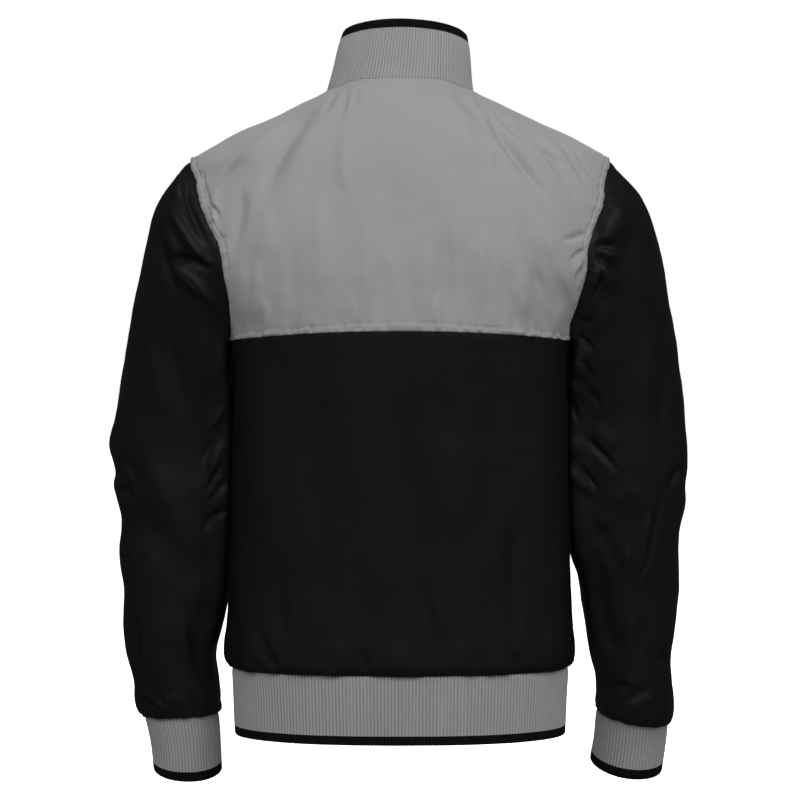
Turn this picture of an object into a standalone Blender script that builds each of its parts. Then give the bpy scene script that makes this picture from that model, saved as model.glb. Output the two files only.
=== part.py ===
"""Track jacket with a light woven back yoke, black body and sleeves, and rib knit collar, cuffs and hem.

Metres, +Z up. The front faces -Y, the wearer's left is +X. The origin is the centre of the neck
opening, level with the side of the collar seam. The cloth is a thin wall on a general figure.
"""
import bisect
import math
from collections import namedtuple

import bmesh
import bpy
from mathutils import Matrix, Vector

# Walls and gaps
CLOTH = 0.0015            # woven wall
KNIT = 0.0026             # rib knit wall at a rib's crest
RIB_RISE = 0.0007         # a rib's crest above the groove beside it
SEAM_GAP = 0.0003         # between pieces that are sewn together

# The rib knit pieces
COLLAR_RIBS = 128
CUFF_RIBS = 56
HEM_RIBS = 240
OUTER_STEPS = 8           # outer columns, two for a rib, over each plain inner column
TIP_HEIGHT = 0.0095       # black stripe knitted in at a free edge
FRONT_OPENING = 0.006     # from the centre line to the edge of a front, the collar or the hem band

# Heights
HEM_TOP = -0.636
HEM_BOTTOM = -0.7075
ARMPIT = -0.285
YOKE_CENTRE = -0.2716
YOKE_DROP = 0.008         # the yoke's lower edge falls this much towards the side seams
YOKE_SIDE = 0.185

# Neckline, where the collar is sewn on
NECK_HALF_WIDTH = 0.081
NECK_BACK = 0.062
NECK_FRONT = 0.070
NECK_RISE = 0.003
NECK_FALL = 0.038
SEAM_FORWARD_NECK = 0.020     # the yoke reaches over the shoulder to a forward seam
SEAM_FORWARD_ARM = 0.030

# Torso, a section a row: height, half width, depth behind and before the middle, and how square it
# is near the middle and near the sides (2 is an ellipse)
Section = namedtuple("Section", "height half_width back front square_middle square_side")
TORSO = [
    Section(0.0035, 0.0800, 0.0612, 0.0340, 2.00, 2.00),
    Section(0.0000, 0.0815, 0.0635, 0.0380, 2.00, 2.00),
    Section(-0.0200, 0.1190, 0.0830, 0.0590, 2.00, 1.80),
    Section(-0.0400, 0.1595, 0.0950, 0.0720, 2.00, 1.70),
    Section(-0.0600, 0.1985, 0.1035, 0.0840, 2.00, 1.65),
    Section(-0.0790, 0.2290, 0.1095, 0.0930, 2.00, 1.65),
    Section(-0.1050, 0.2390, 0.1150, 0.1030, 2.10, 1.75),
    Section(-0.1320, 0.2420, 0.1190, 0.1110, 2.20, 2.10),
    Section(-0.1580, 0.2400, 0.1215, 0.1165, 2.35, 2.30),
    Section(-0.1800, 0.2350, 0.1230, 0.1200, 2.50, 2.45),
    Section(-0.2080, 0.2270, 0.1240, 0.1235, 2.50, 2.50),
    Section(-0.2410, 0.2070, 0.1240, 0.1250, 2.45, 2.45),
    Section(-0.2650, 0.1930, 0.1230, 0.1250, 2.40, 2.40),
    Section(-0.2850, 0.1870, 0.1220, 0.1245, 2.40, 2.40),
    Section(-0.3300, 0.1850, 0.1185, 0.1230, 2.40, 2.40),
    Section(-0.4000, 0.1850, 0.1155, 0.1215, 2.40, 2.40),
    Section(-0.4700, 0.1860, 0.1155, 0.1210, 2.40, 2.40),
    Section(-0.5500, 0.1880, 0.1175, 0.1210, 2.40, 2.40),
    Section(-0.6000, 0.1885, 0.1185, 0.1205, 2.40, 2.40),
    Section(-0.6360, 0.1850, 0.1175, 0.1190, 2.40, 2.40),
    Section(-0.7075, 0.1815, 0.1150, 0.1160, 2.40, 2.40),
]

# The body's cloth blouses over the hem band: height and how far it stands out there
Blouse = namedtuple("Blouse", "height out")
BLOUSE = [
    Blouse(-0.5500, 0.0000),
    Blouse(-0.5900, 0.0022),
    Blouse(-0.6150, 0.0055),
    Blouse(-0.6260, 0.0062),
    Blouse(-0.6320, 0.0042),
    Blouse(-0.6360, 0.0000),
]
BLOUSE_START = 0.030      # the zip holds the fronts flat this near to the centre line

# Armhole seen from the side, from the armpit up the back and down the front: depth, height.
# The wearer's left and right differ a little at the back.
Edge = namedtuple("Edge", "left_depth right_depth height")
ARMHOLE = [
    Edge(0.000, 0.000, -0.285),
    Edge(0.045, 0.045, -0.267),
    Edge(0.071, 0.061, -0.241),
    Edge(0.083, 0.073, -0.210),
    Edge(0.084, 0.077, -0.183),
    Edge(0.074, 0.070, -0.158),
    Edge(0.056, 0.052, -0.128),
    Edge(0.030, 0.030, -0.097),
    Edge(-0.004, -0.004, -0.079),
    Edge(-0.036, -0.036, -0.094),
    Edge(-0.056, -0.056, -0.126),
    Edge(-0.067, -0.067, -0.158),
    Edge(-0.072, -0.072, -0.188),
    Edge(-0.070, -0.070, -0.218),
    Edge(-0.060, -0.060, -0.246),
    Edge(-0.038, -0.038, -0.270),
]

# Sleeves, a section a row, from the armhole down: the inner and the outer point in front view, the
# middle's depth, half the section's depth, squareness, and how far it falls behind for its depth
Ring = namedtuple("Ring", "inner_x inner_z outer_x outer_z middle half_depth squareness fall")
SLEEVE_LEFT = [
    Ring(0.1895, -0.2925, 0.2442, -0.0943, -0.003, 0.0800, 2.10, 0.00),
    Ring(0.1900, -0.3000, 0.2606, -0.1145, -0.008, 0.0800, 2.15, 0.00),
    Ring(0.1900, -0.3100, 0.2732, -0.1411, -0.013, 0.0790, 2.20, 0.00),
    Ring(0.1900, -0.3240, 0.2823, -0.1749, -0.019, 0.0775, 2.20, 0.00),
    Ring(0.1870, -0.3420, 0.2905, -0.2149, -0.025, 0.0760, 2.20, 0.00),
    Ring(0.1860, -0.3640, 0.2988, -0.2570, -0.030, 0.0735, 2.20, 0.00),
    Ring(0.1855, -0.3900, 0.3079, -0.3086, -0.033, 0.0710, 2.20, 0.00),
    Ring(0.1855, -0.4180, 0.3173, -0.3623, -0.035, 0.0690, 2.20, 0.00),
    Ring(0.1860, -0.4400, 0.3230, -0.3907, -0.036, 0.0680, 2.20, 0.00),
    Ring(0.1865, -0.4620, 0.3168, -0.4211, -0.036, 0.0665, 2.20, 0.00),
    Ring(0.1875, -0.4820, 0.3189, -0.4392, -0.036, 0.0655, 2.20, 0.00),
    Ring(0.1885, -0.5060, 0.3102, -0.4735, -0.036, 0.0640, 2.20, 0.00),
    Ring(0.1895, -0.5320, 0.3132, -0.5097, -0.036, 0.0620, 2.20, 0.00),
    Ring(0.1925, -0.5652, 0.3087, -0.5508, -0.036, 0.0600, 2.20, 0.00),
    Ring(0.1992, -0.6000, 0.3090, -0.5895, -0.036, 0.0575, 2.20, 0.00),
    Ring(0.2053, -0.6287, 0.3062, -0.6239, -0.036, 0.0550, 2.20, 0.00),
    Ring(0.2027, -0.6554, 0.2971, -0.6542, -0.036, 0.0525, 2.20, 0.00),
    Ring(0.2012, -0.6761, 0.2952, -0.6786, -0.036, 0.0500, 2.20, 0.01),
    Ring(0.2003, -0.6866, 0.2920, -0.6887, -0.036, 0.0475, 2.20, 0.02),
    Ring(0.2010, -0.6909, 0.2888, -0.6933, -0.036, 0.0445, 2.15, 0.03),
    Ring(0.2025, -0.6919, 0.2853, -0.6948, -0.036, 0.0420, 2.10, 0.03),
]
SLEEVE_RIGHT = [
    Ring(0.1895, -0.2925, 0.2432, -0.0948, -0.003, 0.0790, 2.10, 0.00),
    Ring(0.1905, -0.3000, 0.2616, -0.1155, -0.008, 0.0790, 2.15, 0.00),
    Ring(0.1905, -0.3100, 0.2757, -0.1422, -0.013, 0.0780, 2.20, 0.00),
    Ring(0.1900, -0.3240, 0.2864, -0.1759, -0.019, 0.0770, 2.20, 0.00),
    Ring(0.1870, -0.3420, 0.2946, -0.2139, -0.025, 0.0755, 2.20, 0.00),
    Ring(0.1860, -0.3640, 0.3028, -0.2550, -0.030, 0.0730, 2.20, 0.00),
    Ring(0.1855, -0.3900, 0.3115, -0.3085, -0.034, 0.0705, 2.20, 0.00),
    Ring(0.1855, -0.4180, 0.3175, -0.3623, -0.036, 0.0690, 2.20, 0.00),
    Ring(0.1860, -0.4400, 0.3212, -0.4110, -0.038, 0.0680, 2.20, 0.00),
    Ring(0.1870, -0.4620, 0.3187, -0.4394, -0.039, 0.0665, 2.20, 0.00),
    Ring(0.1885, -0.4900, 0.3183, -0.4596, -0.040, 0.0650, 2.20, 0.00),
    Ring(0.1915, -0.5150, 0.3130, -0.4879, -0.041, 0.0635, 2.20, 0.02),
    Ring(0.1993, -0.5410, 0.3116, -0.5180, -0.042, 0.0615, 2.20, 0.04),
    Ring(0.2038, -0.5696, 0.3116, -0.5514, -0.043, 0.0595, 2.20, 0.06),
    Ring(0.2080, -0.5983, 0.3087, -0.5861, -0.044, 0.0570, 2.20, 0.08),
    Ring(0.2121, -0.6272, 0.3046, -0.6228, -0.045, 0.0545, 2.20, 0.11),
    Ring(0.2183, -0.6502, 0.3048, -0.6534, -0.046, 0.0520, 2.20, 0.13),
    Ring(0.2203, -0.6691, 0.3064, -0.6819, -0.046, 0.0500, 2.20, 0.15),
    Ring(0.2199, -0.6816, 0.3053, -0.6962, -0.046, 0.0475, 2.20, 0.17),
    Ring(0.2198, -0.6875, 0.3030, -0.7015, -0.046, 0.0445, 2.15, 0.18),
    Ring(0.2210, -0.6897, 0.3000, -0.7029, -0.047, 0.0420, 2.10, 0.18),
]

# Cuffs go on from the sleeves' ends with the same columns
CUFF_LEFT = [
    Ring(0.2025, -0.6922, 0.2853, -0.6951, -0.036, 0.0420, 2.10, 0.03),
    Ring(0.2004, -0.7190, 0.2790, -0.7206, -0.039, 0.0405, 2.10, 0.14),
    Ring(0.1992, -0.7555, 0.2760, -0.7525, -0.043, 0.0395, 2.10, 0.27),
]
CUFF_RIGHT = [
    Ring(0.2210, -0.6900, 0.3000, -0.7032, -0.047, 0.0420, 2.10, 0.18),
    Ring(0.2185, -0.7180, 0.2985, -0.7264, -0.055, 0.0405, 2.10, 0.24),
    Ring(0.2145, -0.7470, 0.2955, -0.7560, -0.062, 0.0400, 2.10, 0.33),
]

# Collar: share of its height, half width, depth behind and before, sideways lean, squareness
Band = namedtuple("Band", "share half_width back front lean squareness")
COLLAR = [
    Band(0.00, NECK_HALF_WIDTH, NECK_BACK, NECK_FRONT, 0.0000, 2.00),
    Band(0.25, 0.0778, 0.0580, 0.0690, -0.0016, 2.05),
    Band(0.50, 0.0755, 0.0548, 0.0675, -0.0028, 2.10),
    Band(0.75, 0.0730, 0.0515, 0.0660, -0.0040, 2.10),
    Band(1.00, 0.0690, 0.0475, 0.0640, -0.0055, 2.10),
]
COLLAR_TOP_BACK = 0.0700
COLLAR_TOP_SIDE = 0.0565
COLLAR_TOP_FRONT = 0.0300
COLLAR_TOP_LEAN = 0.0030      # the wearer's left side stands this much over the middle

# Largest folds, one a row. Places are in front view, x to the wearer's left, z up; a fold lies on
# the back or the front side. A positive rise is a ridge and a negative one a trough.
Fold = namedtuple("Fold", "piece side from_x from_z to_x to_z half_width rise")
FOLDS = [
    Fold("back_yoke", 1, 0.128, -0.030, 0.190, -0.100, 0.010, -0.0030),
    Fold("back_yoke", 1, 0.145, -0.028, 0.205, -0.085, 0.009, 0.0025),
    Fold("back_yoke", 1, 0.078, -0.014, 0.130, -0.140, 0.014, -0.0030),
    Fold("back_yoke", 1, 0.198, -0.120, 0.186, -0.190, 0.008, -0.0035),
    Fold("back_yoke", 1, -0.092, -0.018, -0.180, -0.150, 0.010, 0.0035),
    Fold("back_yoke", 1, -0.108, -0.018, -0.190, -0.132, 0.009, -0.0035),
    Fold("back_yoke", 1, -0.118, -0.024, -0.178, -0.085, 0.009, 0.0025),
    Fold("back_yoke", 1, -0.060, -0.060, -0.090, -0.180, 0.018, -0.0022),
    Fold("back_yoke", 1, -0.184, -0.176, -0.196, -0.190, 0.010, -0.0030),
    Fold("back_yoke", 1, 0.020, -0.150, 0.012, -0.262, 0.014, -0.0016),
    Fold("back_yoke", 1, -0.064, -0.180, -0.072, -0.262, 0.014, 0.0016),
    Fold("back_body", 1, 0.120, -0.320, 0.128, -0.600, 0.018, -0.0022),
    Fold("back_body", 1, 0.030, -0.380, -0.006, -0.610, 0.020, 0.0020),
    Fold("back_body", 1, -0.022, -0.520, -0.030, -0.630, 0.011, -0.0028),
    Fold("back_body", 1, -0.125, -0.440, -0.132, -0.630, 0.013, -0.0030),
    Fold("back_body", 1, 0.124, -0.625, 0.138, -0.640, 0.012, -0.0030),
    Fold("back_body", 1, 0.050, -0.615, 0.056, -0.640, 0.010, -0.0028),
    Fold("front_left", -1, 0.100, -0.330, 0.112, -0.600, 0.018, -0.0024),
    Fold("front_left", -1, 0.092, -0.040, 0.140, -0.160, 0.014, -0.0028),
    Fold("front_left", -1, 0.170, -0.190, 0.120, -0.260, 0.014, -0.0030),
    Fold("front_right", -1, -0.090, -0.360, -0.098, -0.610, 0.018, -0.0024),
    Fold("front_right", -1, -0.096, -0.040, -0.150, -0.170, 0.014, -0.0028),
    Fold("front_right", -1, -0.168, -0.190, -0.124, -0.270, 0.014, -0.0030),
    Fold("sleeve_left", 1, 0.246, -0.118, 0.216, -0.175, 0.009, 0.0040),
    Fold("sleeve_left", 1, 0.262, -0.130, 0.224, -0.196, 0.009, -0.0040),
    Fold("sleeve_left", 1, 0.248, -0.186, 0.206, -0.232, 0.010, 0.0045),
    Fold("sleeve_left", 1, 0.236, -0.158, 0.206, -0.208, 0.008, -0.0035),
    Fold("sleeve_left", 1, 0.286, -0.400, 0.236, -0.450, 0.012, 0.0025),
    Fold("sleeve_left", 1, 0.194, -0.400, 0.222, -0.462, 0.009, -0.0035),
    Fold("sleeve_left", 1, 0.196, -0.430, 0.228, -0.480, 0.008, 0.0035),
    Fold("sleeve_left", 1, 0.310, -0.440, 0.286, -0.462, 0.009, -0.0045),
    Fold("sleeve_left", 1, 0.306, -0.516, 0.290, -0.530, 0.009, -0.0030),
    Fold("sleeve_left", 1, 0.216, -0.560, 0.232, -0.660, 0.010, -0.0028),
    Fold("sleeve_left", -1, 0.210, -0.300, 0.260, -0.420, 0.014, -0.0035),
    Fold("sleeve_left", -1, 0.206, -0.400, 0.286, -0.450, 0.012, -0.0045),
    Fold("sleeve_left", -1, 0.214, -0.440, 0.282, -0.500, 0.012, 0.0035),
    Fold("sleeve_right", 1, -0.208, -0.176, -0.240, -0.190, 0.009, -0.0040),
    Fold("sleeve_right", 1, -0.214, -0.205, -0.232, -0.222, 0.009, 0.0040),
    Fold("sleeve_right", 1, -0.236, -0.186, -0.242, -0.260, 0.010, -0.0030),
    Fold("sleeve_right", 1, -0.200, -0.290, -0.214, -0.340, 0.009, -0.0035),
    Fold("sleeve_right", 1, -0.200, -0.366, -0.226, -0.384, 0.009, 0.0035),
    Fold("sleeve_right", 1, -0.196, -0.400, -0.262, -0.446, 0.010, -0.0040),
    Fold("sleeve_right", 1, -0.306, -0.428, -0.266, -0.452, 0.010, -0.0040),
    Fold("sleeve_right", 1, -0.224, -0.490, -0.280, -0.560, 0.011, 0.0028),
    Fold("sleeve_right", 1, -0.222, -0.600, -0.262, -0.672, 0.010, -0.0030),
    Fold("sleeve_right", -1, -0.212, -0.300, -0.262, -0.430, 0.014, -0.0035),
    Fold("sleeve_right", -1, -0.206, -0.410, -0.288, -0.460, 0.012, -0.0045),
    Fold("sleeve_right", -1, -0.216, -0.450, -0.284, -0.510, 0.012, 0.0035),
]

# Zip
TAPE_HALF_WIDTH = 0.012
TAPE_THICK = 0.0010
TAPE_DEPTH = 0.0042       # the tape's outer face behind the cloth's outer face
CHAIN_HALF_WIDTH = 0.0030
CHAIN_PROUD = 0.0004      # the closed chain stands this far before the cloth
ZIP_SPACING = 0.030       # between the strip's sections
SLIDER_HEIGHT = 0.0110
SLIDER_WIDTH = 0.0086
SLIDER_THICK = 0.0022
SLIDER_BELOW_TOP = 0.0120
BAIL_WIDTH = 0.0016
BAIL_THICK = 0.0011
BAIL_RISE = 0.0036
BAIL_SPAN = 0.0064
TAB_WIDTH = 0.0066
TAB_LENGTH = 0.0240
TAB_THICK = 0.0012
TAB_SLOT_WIDTH = 0.0032
TAB_SLOT_LENGTH = 0.0046
TAB_BAR = 0.0012          # the bar above the slot, that turns inside the bail
BOX_WIDTH = 0.0085
BOX_HEIGHT = 0.0100
BOX_THICK = 0.0034

EDGE_INSET = 0.0006       # share of a torso piece left free at each edge, for the seam gap

# Mesh steps
SHOULDER_COLUMNS = 7      # along each shoulder seam
NECK_BACK_COLUMNS = 14
NECK_FRONT_COLUMNS = 6
BACK_COLUMNS = 22         # across the lower back, between the armholes
UNDER_COLUMNS = 2         # of the lower back, under each armhole
YOKE_LEVELS = 11          # up the armhole behind
BACK_LEVELS = 13
FRONT_LOW_LEVELS = 11     # from the hem to the armpit
FRONT_HIGH_LEVELS = 8     # up the armhole before
SLEEVE_LEVELS = 26

HEIGHT_FADE = 2.5         # power of the fade of a side edge's height across a torso piece
COLLECTION = "track_jacket"


def smooth_step(value):
    """0 up to 0, 1 from 1, and a soft S between."""
    value = min(max(value, 0.0), 1.0)
    return value * value * (3.0 - 2.0 * value)


def signed_power(value, power):
    return math.copysign(abs(value) ** power, value)


def hermite(low, high, slope_low, slope_high, span, share):
    """Cubic between two values with given slopes."""
    s2, s3 = share * share, share ** 3
    return ((2 * s3 - 3 * s2 + 1) * low + (s3 - 2 * s2 + share) * span * slope_low
            + (3 * s2 - 2 * s3) * high + (s3 - s2) * span * slope_high)


def read_table(places, values, place):
    """The smooth value at a place, from rows whose places rise."""
    if place <= places[0]:
        return values[0]
    if place >= places[-1]:
        return values[-1]
    low = bisect.bisect_right(places, place) - 1
    high = low + 1

    def slope(index):
        before, after = max(index - 1, 0), min(index + 1, len(places) - 1)
        return (values[after] - values[before]) / (places[after] - places[before])

    span = places[high] - places[low]
    return hermite(values[low], values[high], slope(low), slope(high), span, (place - places[low]) / span)


def section_at(height):
    """The torso's section at any height."""
    rows = TORSO[::-1]
    places = [row.height for row in rows]
    return Section(height, *(read_table(places, [row[column] for row in rows], height)
                             for column in range(1, 6)))


def blouse_at(height):
    rows = BLOUSE[::-1]
    return max(0.0, read_table([row.height for row in rows], [row.out for row in rows], height))


def torso_point(angle, height):
    """A point of the torso: angle 0 is the wearer's left side, a quarter turn is the back."""
    section = section_at(height)
    depth = section.back if math.sin(angle) >= 0.0 else section.front
    point = Vector((section.half_width * signed_power(math.cos(angle), 2.0 / section.square_middle),
                    depth * signed_power(math.sin(angle), 2.0 / section.square_side), height))
    hold = 1.0
    if point.y < 0.0:
        hold = smooth_step(abs(point.x) / BLOUSE_START - 0.4)
    outward = Vector((point.x, point.y * 1.5, 0.0)).normalized()
    return point + outward * blouse_at(height) * hold


def angle_at_depth(side, depth, height):
    """The angle on the torso at a depth, on the wearer's left (side 1) or right (side -1)."""
    section = section_at(height)
    reach = section.back if depth >= 0.0 else section.front
    angle = math.asin(min(1.0, abs(depth) / reach) ** (section.square_side / 2.0))
    angle = math.copysign(angle, depth)
    return angle if side > 0 else math.pi - angle


def angle_at_x(x, height, back):
    """The angle on the torso at a place across it, behind or before."""
    section = section_at(height)
    share = min(1.0, abs(x) / section.half_width) ** (section.square_middle / 2.0)
    angle = math.acos(math.copysign(share, x))
    return angle if back else -angle


def angle_toward(point):
    """The angle on the torso in the direction of a point, from just short of the front round to it."""
    section = section_at(point.z)
    reach = section.back if point.y >= 0.0 else section.front
    angle = math.atan2(signed_power(point.y / reach, section.square_side / 2.0),
                       signed_power(point.x / section.half_width, section.square_middle / 2.0))
    return angle + math.tau if angle < -math.pi / 2.0 else angle


def loop_value(values, turn):
    """Smooth closed curve through evenly spaced values, once round for turn 0 to 1."""
    count = len(values)
    place = (turn % 1.0) * count
    low = int(place) % count
    share = place - int(place)
    before, start, end, after = (values[(low + step) % count] for step in (-1, 0, 1, 2))
    return hermite(start, end, (end - before) / 2.0, (after - start) / 2.0, 1.0, share)


def armhole_side_view(side, turn):
    """Depth and height on the armhole; turn 0 is the armpit, and it goes up the back."""
    depths = [row.left_depth if side > 0 else row.right_depth for row in ARMHOLE]
    return loop_value(depths, turn), loop_value([row.height for row in ARMHOLE], turn)


def armhole_place(side, turn):
    """Angle and height on the torso, on the armhole."""
    depth, height = armhole_side_view(side, turn)
    return angle_at_depth(side, depth, height), height


def armhole_turn(side, wanted, low, high, read):
    """The turn between two others at which a value of the armhole is met."""
    rising = read(*armhole_side_view(side, high)) > read(*armhole_side_view(side, low))
    for _ in range(40):
        middle = (low + high) / 2.0
        if (read(*armhole_side_view(side, middle)) < wanted) == rising:
            low = middle
        else:
            high = middle
    return (low + high) / 2.0


def yoke_height(x):
    return YOKE_CENTRE - YOKE_DROP * (x / YOKE_SIDE) ** 2


def neck_point(turn):
    """The neckline: turn 0 is the wearer's left, a quarter is the centre back."""
    angle = turn * math.tau
    rise = math.sin(angle)
    depth = NECK_BACK if rise >= 0.0 else NECK_FRONT
    height = NECK_RISE * rise if rise >= 0.0 else -NECK_FALL * abs(rise) ** 1.5
    return Vector((NECK_HALF_WIDTH * math.cos(angle), depth * rise, height))


def neck_place(turn):
    """The angle and height on the torso beside a point of the neckline."""
    point = neck_point(turn)
    return angle_toward(point), point.z


NECK_SEAM_TURN = math.asin(SEAM_FORWARD_NECK / NECK_FRONT) / math.tau


def blend(start, end, share):
    return tuple(a + (b - a) * share for a, b in zip(start, end))


def along(stops, share):
    """Follows parts of an edge: each stop is the share where its part ends and the part itself."""
    begin = 0.0
    for end, part in stops:
        if share <= end or end == stops[-1][0]:
            return part((share - begin) / (end - begin))
        begin = end
    return None


def patch_place(low, high, first, last, u, v):
    """A patch's place from its four edges, each an angle and a height. What the side edges add to
    the straight run between the corners fades out across the patch, and sooner in height."""
    ends = [(torso_point(*low(share)), torso_point(*high(share))) for share in (0.0, u, 1.0)]
    start, here, end = (bottom.lerp(top, v) for bottom, top in ends)
    from_first, from_last = torso_point(*first(v)) - start, torso_point(*last(v)) - end
    place = Vector(here[axis] + (1.0 - u) ** fade * from_first[axis] + u ** fade * from_last[axis]
                   for axis, fade in enumerate((1.0, 1.0, HEIGHT_FADE)))
    return angle_toward(place), place.z


def fold_rise(piece, point, behind):
    """How far the folds of a piece push a point out."""
    rise = 0.0
    for fold in FOLDS:
        if fold.piece != piece or (fold.side > 0) != behind:
            continue
        run = Vector((fold.to_x - fold.from_x, fold.to_z - fold.from_z))
        offset = Vector((point.x - fold.from_x, point.z - fold.from_z))
        share = offset.dot(run) / run.length_squared
        nearest = min(max(share, 0.0), 1.0)
        distance = (offset - run * nearest).length
        fade = math.sin(math.pi * min(max(share * 0.8 + 0.1, 0.0), 1.0)) ** 0.5
        rise += fold.rise * fade * math.exp(-(distance / fold.half_width) ** 2)
    return rise


def build_material(name, colour, roughness, metallic=0.0, sheen=0.0):
    material = bpy.data.materials.new(name)
    material.use_nodes = True
    shader = material.node_tree.nodes["Principled BSDF"]
    shader.inputs["Base Color"].default_value = (*colour, 1.0)
    shader.inputs["Roughness"].default_value = roughness
    shader.inputs["Metallic"].default_value = metallic
    shader.inputs["Sheen Weight"].default_value = sheen
    return material


def add_object(name, mesh, *materials):
    obj = bpy.data.objects.new(name, mesh)
    bpy.data.collections[COLLECTION].objects.link(obj)
    for material in materials:
        mesh.materials.append(material)
    return obj


def wall_mesh(name, points, normals, closed=False):
    """A cloth wall: rows of points outside, and the same rows moved in along their own normals, so
    that pieces that meet at a seam have parallel ends. Seen from outside with the rows going up,
    each row runs to the right. Both skins split each square along its shorter diagonal."""
    mesh = bmesh.new()
    outer = [[mesh.verts.new(point) for point in row] for row in points]
    inner = [[mesh.verts.new(point - normal * CLOTH) for point, normal in zip(row, row_normals)]
             for row, row_normals in zip(points, normals)]
    width = len(points[0])
    rising = [[(low[column] - high[(column + 1) % width]).length
               < (low[(column + 1) % width] - high[column]).length for column in range(width)]
              for low, high in zip(points, points[1:])]

    def skin(rows, flip):
        for level, (low, high) in enumerate(zip(rows, rows[1:])):
            for column in range(width if closed else width - 1):
                after = (column + 1) % width
                corners = (low[column], low[after], high[after], high[column])
                if rising[level][column]:
                    halves = (corners[:3], (corners[0], corners[2], corners[3]))
                else:
                    halves = (corners[1:], (corners[0], corners[1], corners[3]))
                for half in halves:
                    mesh.faces.new(half[::-1] if flip else half).smooth = True

    def rim(outer_edge, inner_edge):
        pairs = list(zip(outer_edge, inner_edge))
        if closed:
            pairs.append(pairs[0])
        for (out_a, in_a), (out_b, in_b) in zip(pairs, pairs[1:]):
            mesh.faces.new((out_a, in_a, in_b, out_b))

    skin(outer, False)
    skin(inner, True)
    rim(outer[0], inner[0])
    rim(outer[-1][::-1], inner[-1][::-1])
    if not closed:
        rim([row[0] for row in outer][::-1], [row[0] for row in inner][::-1])
        rim([row[-1] for row in outer], [row[-1] for row in inner])
    data = bpy.data.meshes.new(name)
    mesh.to_mesh(data)
    mesh.free()
    return data


def surface_normal(angle, height):
    """Out of the torso."""
    across = torso_point(angle + 0.02, height) - torso_point(angle - 0.02, height)
    upward = torso_point(angle, height + 0.004) - torso_point(angle, height - 0.004)
    return across.cross(upward).normalized()


def even(low, high, steps):
    """Even shares from low up to, but without, high."""
    return [low + (high - low) * step / steps for step in range(steps)]


def build_patch(piece, edges, shares, lift, behind, material, side=1):
    """A torso piece from its four edges, with its folds; side -1 mirrors it."""
    across, upward = ([EDGE_INSET + (1.0 - 2.0 * EDGE_INSET) * share for share in part] for part in shares)
    points, normals = [], []
    for v in upward:
        row, row_normals = [], []
        for u in across:
            angle, height = patch_place(*edges, u, v)
            point = torso_point(angle, height) + lift(u) * smooth_step((v - 0.6) / 0.4)
            outward = surface_normal(angle, height)
            point.x *= side
            outward.x *= side
            edge = min(u, 1.0 - u, v, 1.0 - v)
            row.append(point + outward * fold_rise(piece, point, behind) * smooth_step(edge / 0.05))
            row_normals.append(outward)
        points.append(row[::side])
        normals.append(row_normals[::side])
    add_object(piece, wall_mesh(piece, points, normals), material)


def neck_lift(turn):
    """From the torso's own surface to the neckline."""
    return neck_point(turn) - torso_point(*neck_place(turn))


def shoulder_turn():
    """Where the forward shoulder seam meets the armhole."""
    return armhole_turn(1, -SEAM_FORWARD_ARM, 0.5, 0.6, lambda depth, height: depth)


def corner_turn(side):
    """Where the yoke's lower edge meets the armhole."""
    return armhole_turn(side, yoke_height(YOKE_SIDE), 0.02, 0.12, lambda depth, height: height)


def yoke_seam(share):
    """Angle and height on the yoke's lower edge, from the wearer's left armhole to the right."""
    angle, height = blend(armhole_place(1, corner_turn(1)), armhole_place(-1, corner_turn(-1)), share)
    straight = yoke_height(torso_point(angle, YOKE_CENTRE).x)
    return angle, straight + (height - yoke_height(YOKE_SIDE)) * abs(2.0 * share - 1.0) ** 4


def build_yoke(material):
    shoulder = 0.27       # share of the upper edge that each shoulder seam takes
    ends = {side: armhole_place(side, shoulder_turn()) for side in (1, -1)}
    left_neck, right_neck = -NECK_SEAM_TURN, 0.5 + NECK_SEAM_TURN

    def high(u):
        return along([
            (shoulder, lambda share: blend(ends[1], neck_place(left_neck), share)),
            (1.0 - shoulder, lambda share: neck_place(left_neck + (right_neck - left_neck) * share)),
            (1.0, lambda share: blend(neck_place(right_neck), ends[-1], share))], u)

    def armhole(side):
        return lambda v: armhole_place(side, corner_turn(side) + (shoulder_turn() - corner_turn(side)) * v)

    def lift(u):
        share = (u - shoulder) / (1.0 - 2.0 * shoulder)
        near = min(max(share, 0.0), 1.0)
        fade = smooth_step(1.0 - abs(share - near) * 3.0)
        return neck_lift(left_neck + (right_neck - left_neck) * near) * fade

    across = (even(0.0, shoulder, SHOULDER_COLUMNS) + even(shoulder, 1.0 - shoulder, NECK_BACK_COLUMNS)
              + even(1.0 - shoulder, 1.0, SHOULDER_COLUMNS) + [1.0])
    upward = even(0.0, 1.0, YOKE_LEVELS) + [1.0]
    edges = (yoke_seam, high, armhole(1), armhole(-1))
    build_patch("back_yoke", edges, (across, upward), lift, True, material)


def build_back(material):
    under = 0.06          # share of the upper edge that each armhole takes

    def high(u):
        return along([
            (under, lambda share: armhole_place(1, corner_turn(1) * share)),
            (1.0 - under, yoke_seam),
            (1.0, lambda share: armhole_place(-1, corner_turn(-1) * (1.0 - share)))], u)

    def side_seam(angle):
        return lambda v: (angle, HEM_TOP + (ARMPIT - HEM_TOP) * v)

    edges = (lambda u: (math.pi * u, HEM_TOP), high, side_seam(0.0), side_seam(math.pi))
    across = (even(0.0, under, UNDER_COLUMNS) + even(under, 1.0 - under, BACK_COLUMNS)
              + even(1.0 - under, 1.0, UNDER_COLUMNS) + [1.0])
    upward = even(0.0, 1.0, BACK_LEVELS) + [1.0]
    build_patch("back_body", edges, (across, upward), lambda u: Vector(), True, material)


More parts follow.
